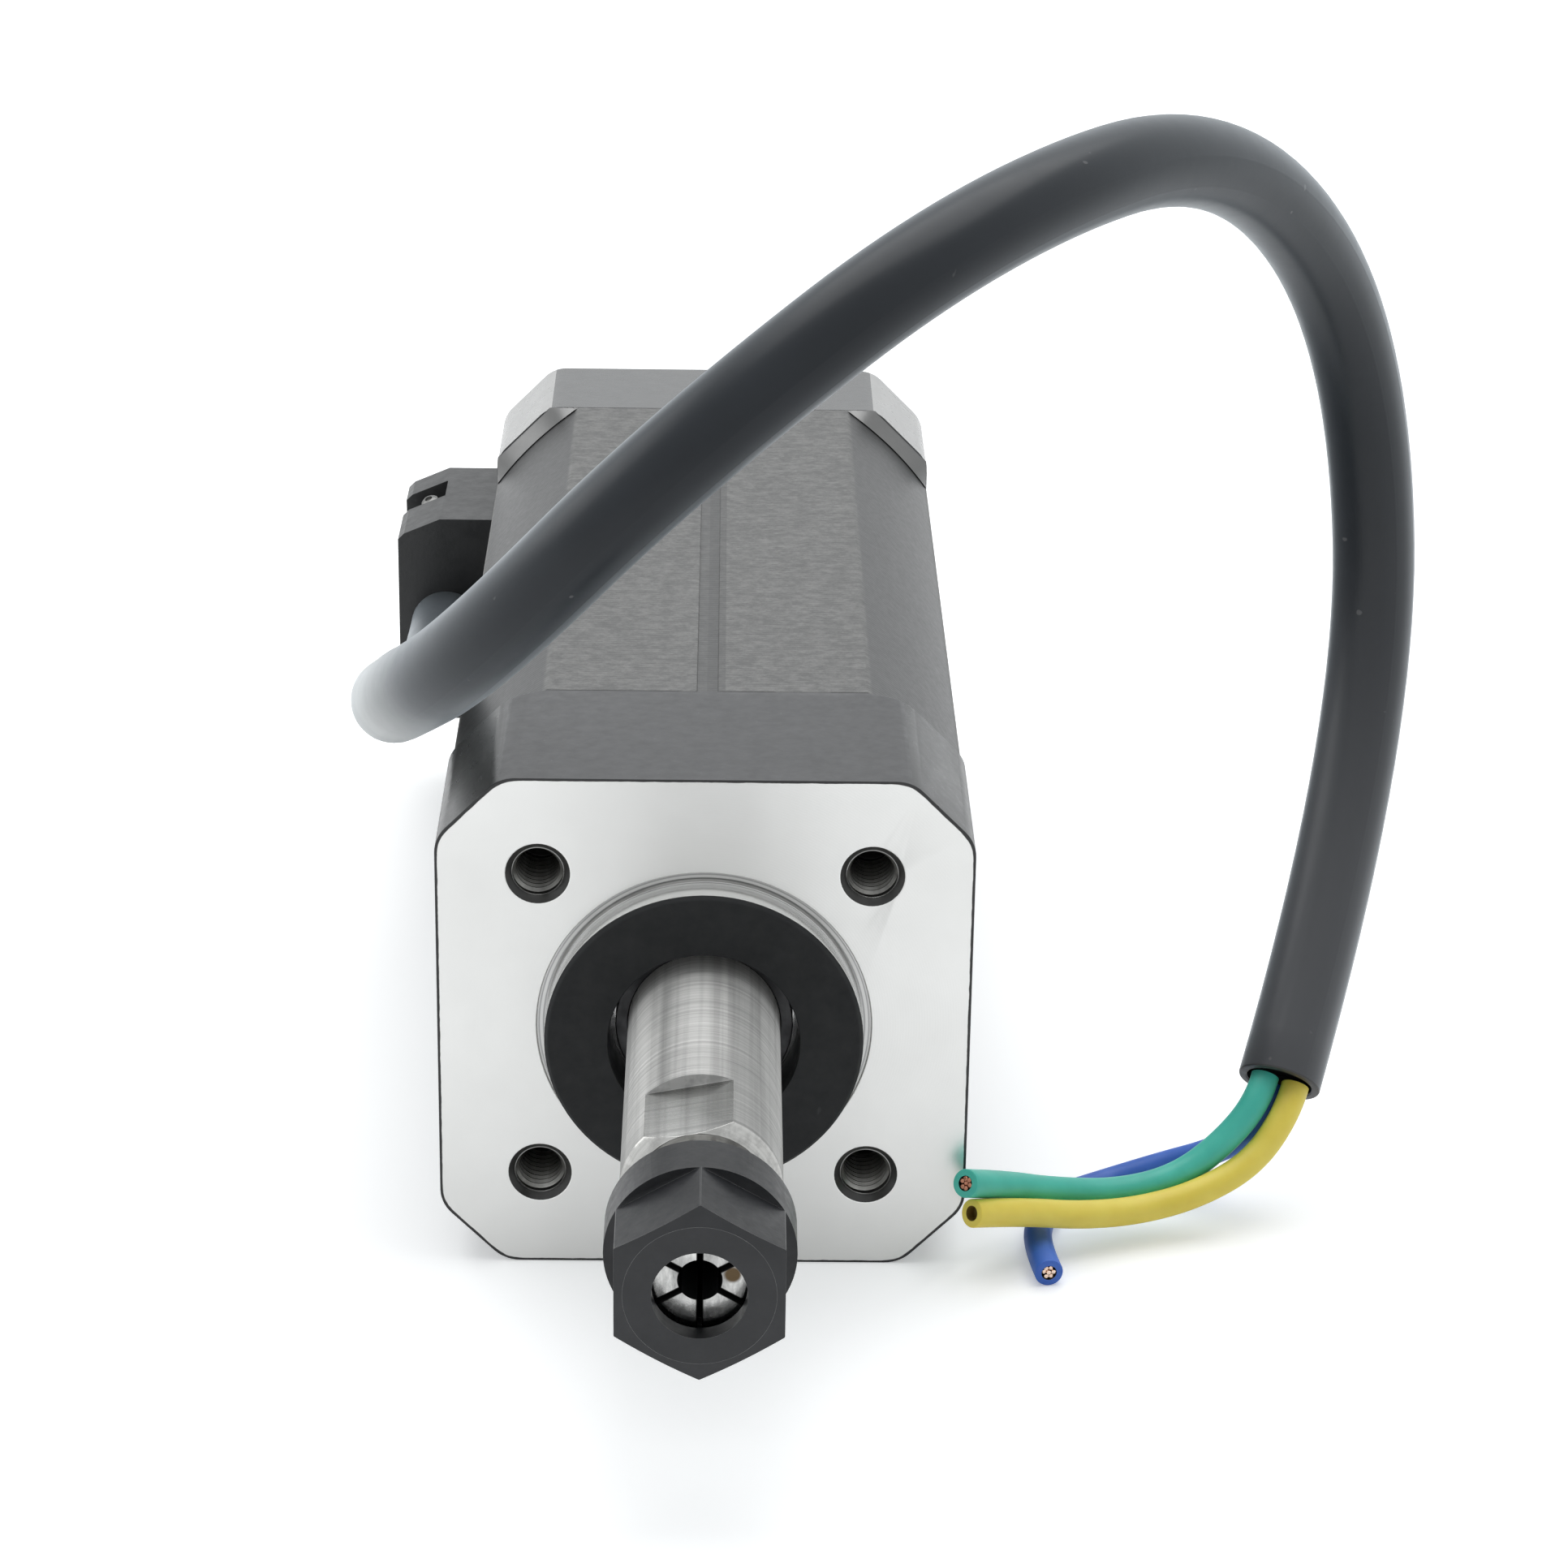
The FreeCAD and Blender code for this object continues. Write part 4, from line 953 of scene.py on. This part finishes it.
def make_motor():
    front = [PAINT, ROUGH, FACE, GROOVE, SEAL, HOLE]
    dressed("front_end_cap", "motor", front, front_cap_finish, 0.12)
    mesh_piece("flange_threads", thread_ridges, [THREAD, GROUND], "motor")
    mesh_piece("rear_lips", rear_lips, [LIP_HIGHLIGHT_PAINT], "motor")
    dressed("rear_end_cap", "motor", [REAR_PAINT, HIGHLIGHT_CORNER_PAINT], rear_cap_finish, 0.25)
    dressed("stator_core", "motor", [STACK], None, 0.1)
    dressed("outlet_block", "motor", [BLOCK], None, 0.3, opening=POCKET)
    dressed("outlet_screws", "motor", [ZINC_SCREW], None, 0.5, 3)
    mesh_piece("screw_heads", screw_heads, [ZINC_SCREW], "motor")
    dressed("tie_screws", "motor", [BLACK_SCREW], None, 0.12)
    dressed("spindle_shaft", "rotor", [SHAFT, GROUND, RIM, SEAL], shaft_finish, 0.08)
    dressed("front_spacer", "rotor", [BLACK_SCREW], None, 0.1)
    dressed("collet_nut", "nut", [NUT, LIGHT_EDGE], None, 0.08, angle=14, edge_finish=1)
    dressed("spring_collet", "collet", [COLLET, SEAL], collet_finish, 0.05,
            adjust=sunk_collet)


make_motor()

HIDDEN_FINISH = {
    "front_bearing_outer_race": BEARING, "front_bearing_inner_race": BEARING,
    "front_bearing_balls": BEARING, "rear_bearing_outer_race": BEARING,
    "rear_bearing_inner_race": BEARING, "rear_bearing_balls": BEARING,
    "front_bearing_shields": PRESSED, "rear_bearing_shields": PRESSED,
    "front_bearing_cage": PRESSED, "rear_bearing_cage": PRESSED, "preload_washer": PRESSED,
    "coils_phase_a": WINDING, "coils_phase_b": WINDING, "coils_phase_c": WINDING,
    "insulator_front": NATURAL, "insulator_rear": NATURAL, "phase_leads": NATURAL,
    "rotor_core": IRON, "rotor_magnets": IRON, "magnet_sleeve": PRESSED,
}
for node, material in HIDDEN_FINISH.items():
    for holder in frame["nodes"][node].material_slots:
        holder.material = material


# Studio

FLOOR_LIFT = 0.345
MIRROR_LIFT = 0.1
FLOOR_HALF = 3.0
FLOOR_LEVEL = -21
WORLD_RANGE = (-0.7, 0.9, 0.3, 1.0)
STUDIO_WHITE = (0.97, 0.99, 1.0, 1)
AIM = (0, 0.02, 0)
OVERHEAD = 8.0
LEFT = 3.5


def floor_material():
    """Pale floor that keeps its shadows; its own white is lifted a little where it is seen."""
    s = Shader("floor", specular=0.0)
    s.set("Roughness", 0.9)
    s.color(s.ramp(s.noise(6, 3), [(0.3, (0.895, 0.9, 0.905)), (0.7, (0.905, 0.91, 0.915))]))
    s.set("Emission Color", STUDIO_WHITE)
    path = s.node("ShaderNodeLightPath").outputs
    mirrored = s.math("MAXIMUM", path["Is Glossy Ray"], path["Is Transmission Ray"])
    mirrored = s.math("MULTIPLY", mirrored, MIRROR_LIFT)
    seen = s.math("MULTIPLY_ADD", path["Is Camera Ray"], FLOOR_LIFT, mirrored)
    s.link(seen, s.surface.inputs["Emission Strength"])
    return s.material


def make_stage():
    """The floor, level with the lowest flat of the motor."""
    mesh = bpy.data.meshes.new("floor")
    level = min(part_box("stator_core")[0].z, FLOOR_LEVEL * MM)
    around = ((-1, -1), (1, -1), (1, 1), (-1, 1))
    corners = [(x * FLOOR_HALF, y * FLOOR_HALF, level) for x, y in around]
    mesh.from_pydata(corners, [], [(0, 1, 2, 3)])
    mesh.materials.append(floor_material())
    floor = bpy.data.objects.new("floor", mesh)
    scene.collection.objects.link(floor)


def area_light(name, place, size, power):
    data = bpy.data.lights.new(name, "AREA")
    data.shape = "RECTANGLE"
    data.size, data.size_y = size
    data.energy = power
    light = bpy.data.objects.new(name, data)
    scene.collection.objects.link(light)
    light.location = Vector(place)
    aim = Vector(AIM) - Vector(place)
    light.rotation_euler = aim.to_track_quat("-Z", "Y").to_euler()


def make_light():
    """A room that is brighter behind the object, white where it is seen, and two soft boxes."""
    world = bpy.data.worlds.new("studio")
    scene.world = world
    world.use_nodes = True
    tree = world.node_tree
    background = tree.nodes["Background"]
    background.inputs["Color"].default_value = STUDIO_WHITE
    direction = tree.nodes.new("ShaderNodeTexCoord").outputs["Generated"]
    split = tree.nodes.new("ShaderNodeSeparateXYZ")
    tree.links.new(direction, split.inputs[0])
    spread = tree.nodes.new("ShaderNodeMapRange")
    spread.interpolation_type = "SMOOTHSTEP"
    for socket, value in zip(("From Min", "From Max", "To Min", "To Max"), WORLD_RANGE):
        spread.inputs[socket].default_value = value
    tree.links.new(split.outputs["Y"], spread.inputs["Value"])
    path = tree.nodes.new("ShaderNodeLightPath")
    whiter = tree.nodes.new("ShaderNodeMath")
    whiter.operation = "MAXIMUM"
    tree.links.new(spread.outputs["Result"], whiter.inputs[0])
    seen = path.outputs["Is Camera Ray"]
    for kind in ("Is Glossy Ray", "Is Transmission Ray"):
        either = tree.nodes.new("ShaderNodeMath")
        either.operation = "MAXIMUM"
        tree.links.new(seen, either.inputs[0])
        tree.links.new(path.outputs[kind], either.inputs[1])
        seen = either.outputs[0]
    tree.links.new(seen, whiter.inputs[1])
    tree.links.new(whiter.outputs[0], background.inputs["Strength"])
    area_light("overhead", (0.0, 0.25, 1.0), (1.2, 1.0), OVERHEAD)
    area_light("left", (-1.2, 0.25, 0.6), (1.0, 0.8), LEFT)


make_stage()
make_light()
scene.view_settings.view_transform = "Standard"

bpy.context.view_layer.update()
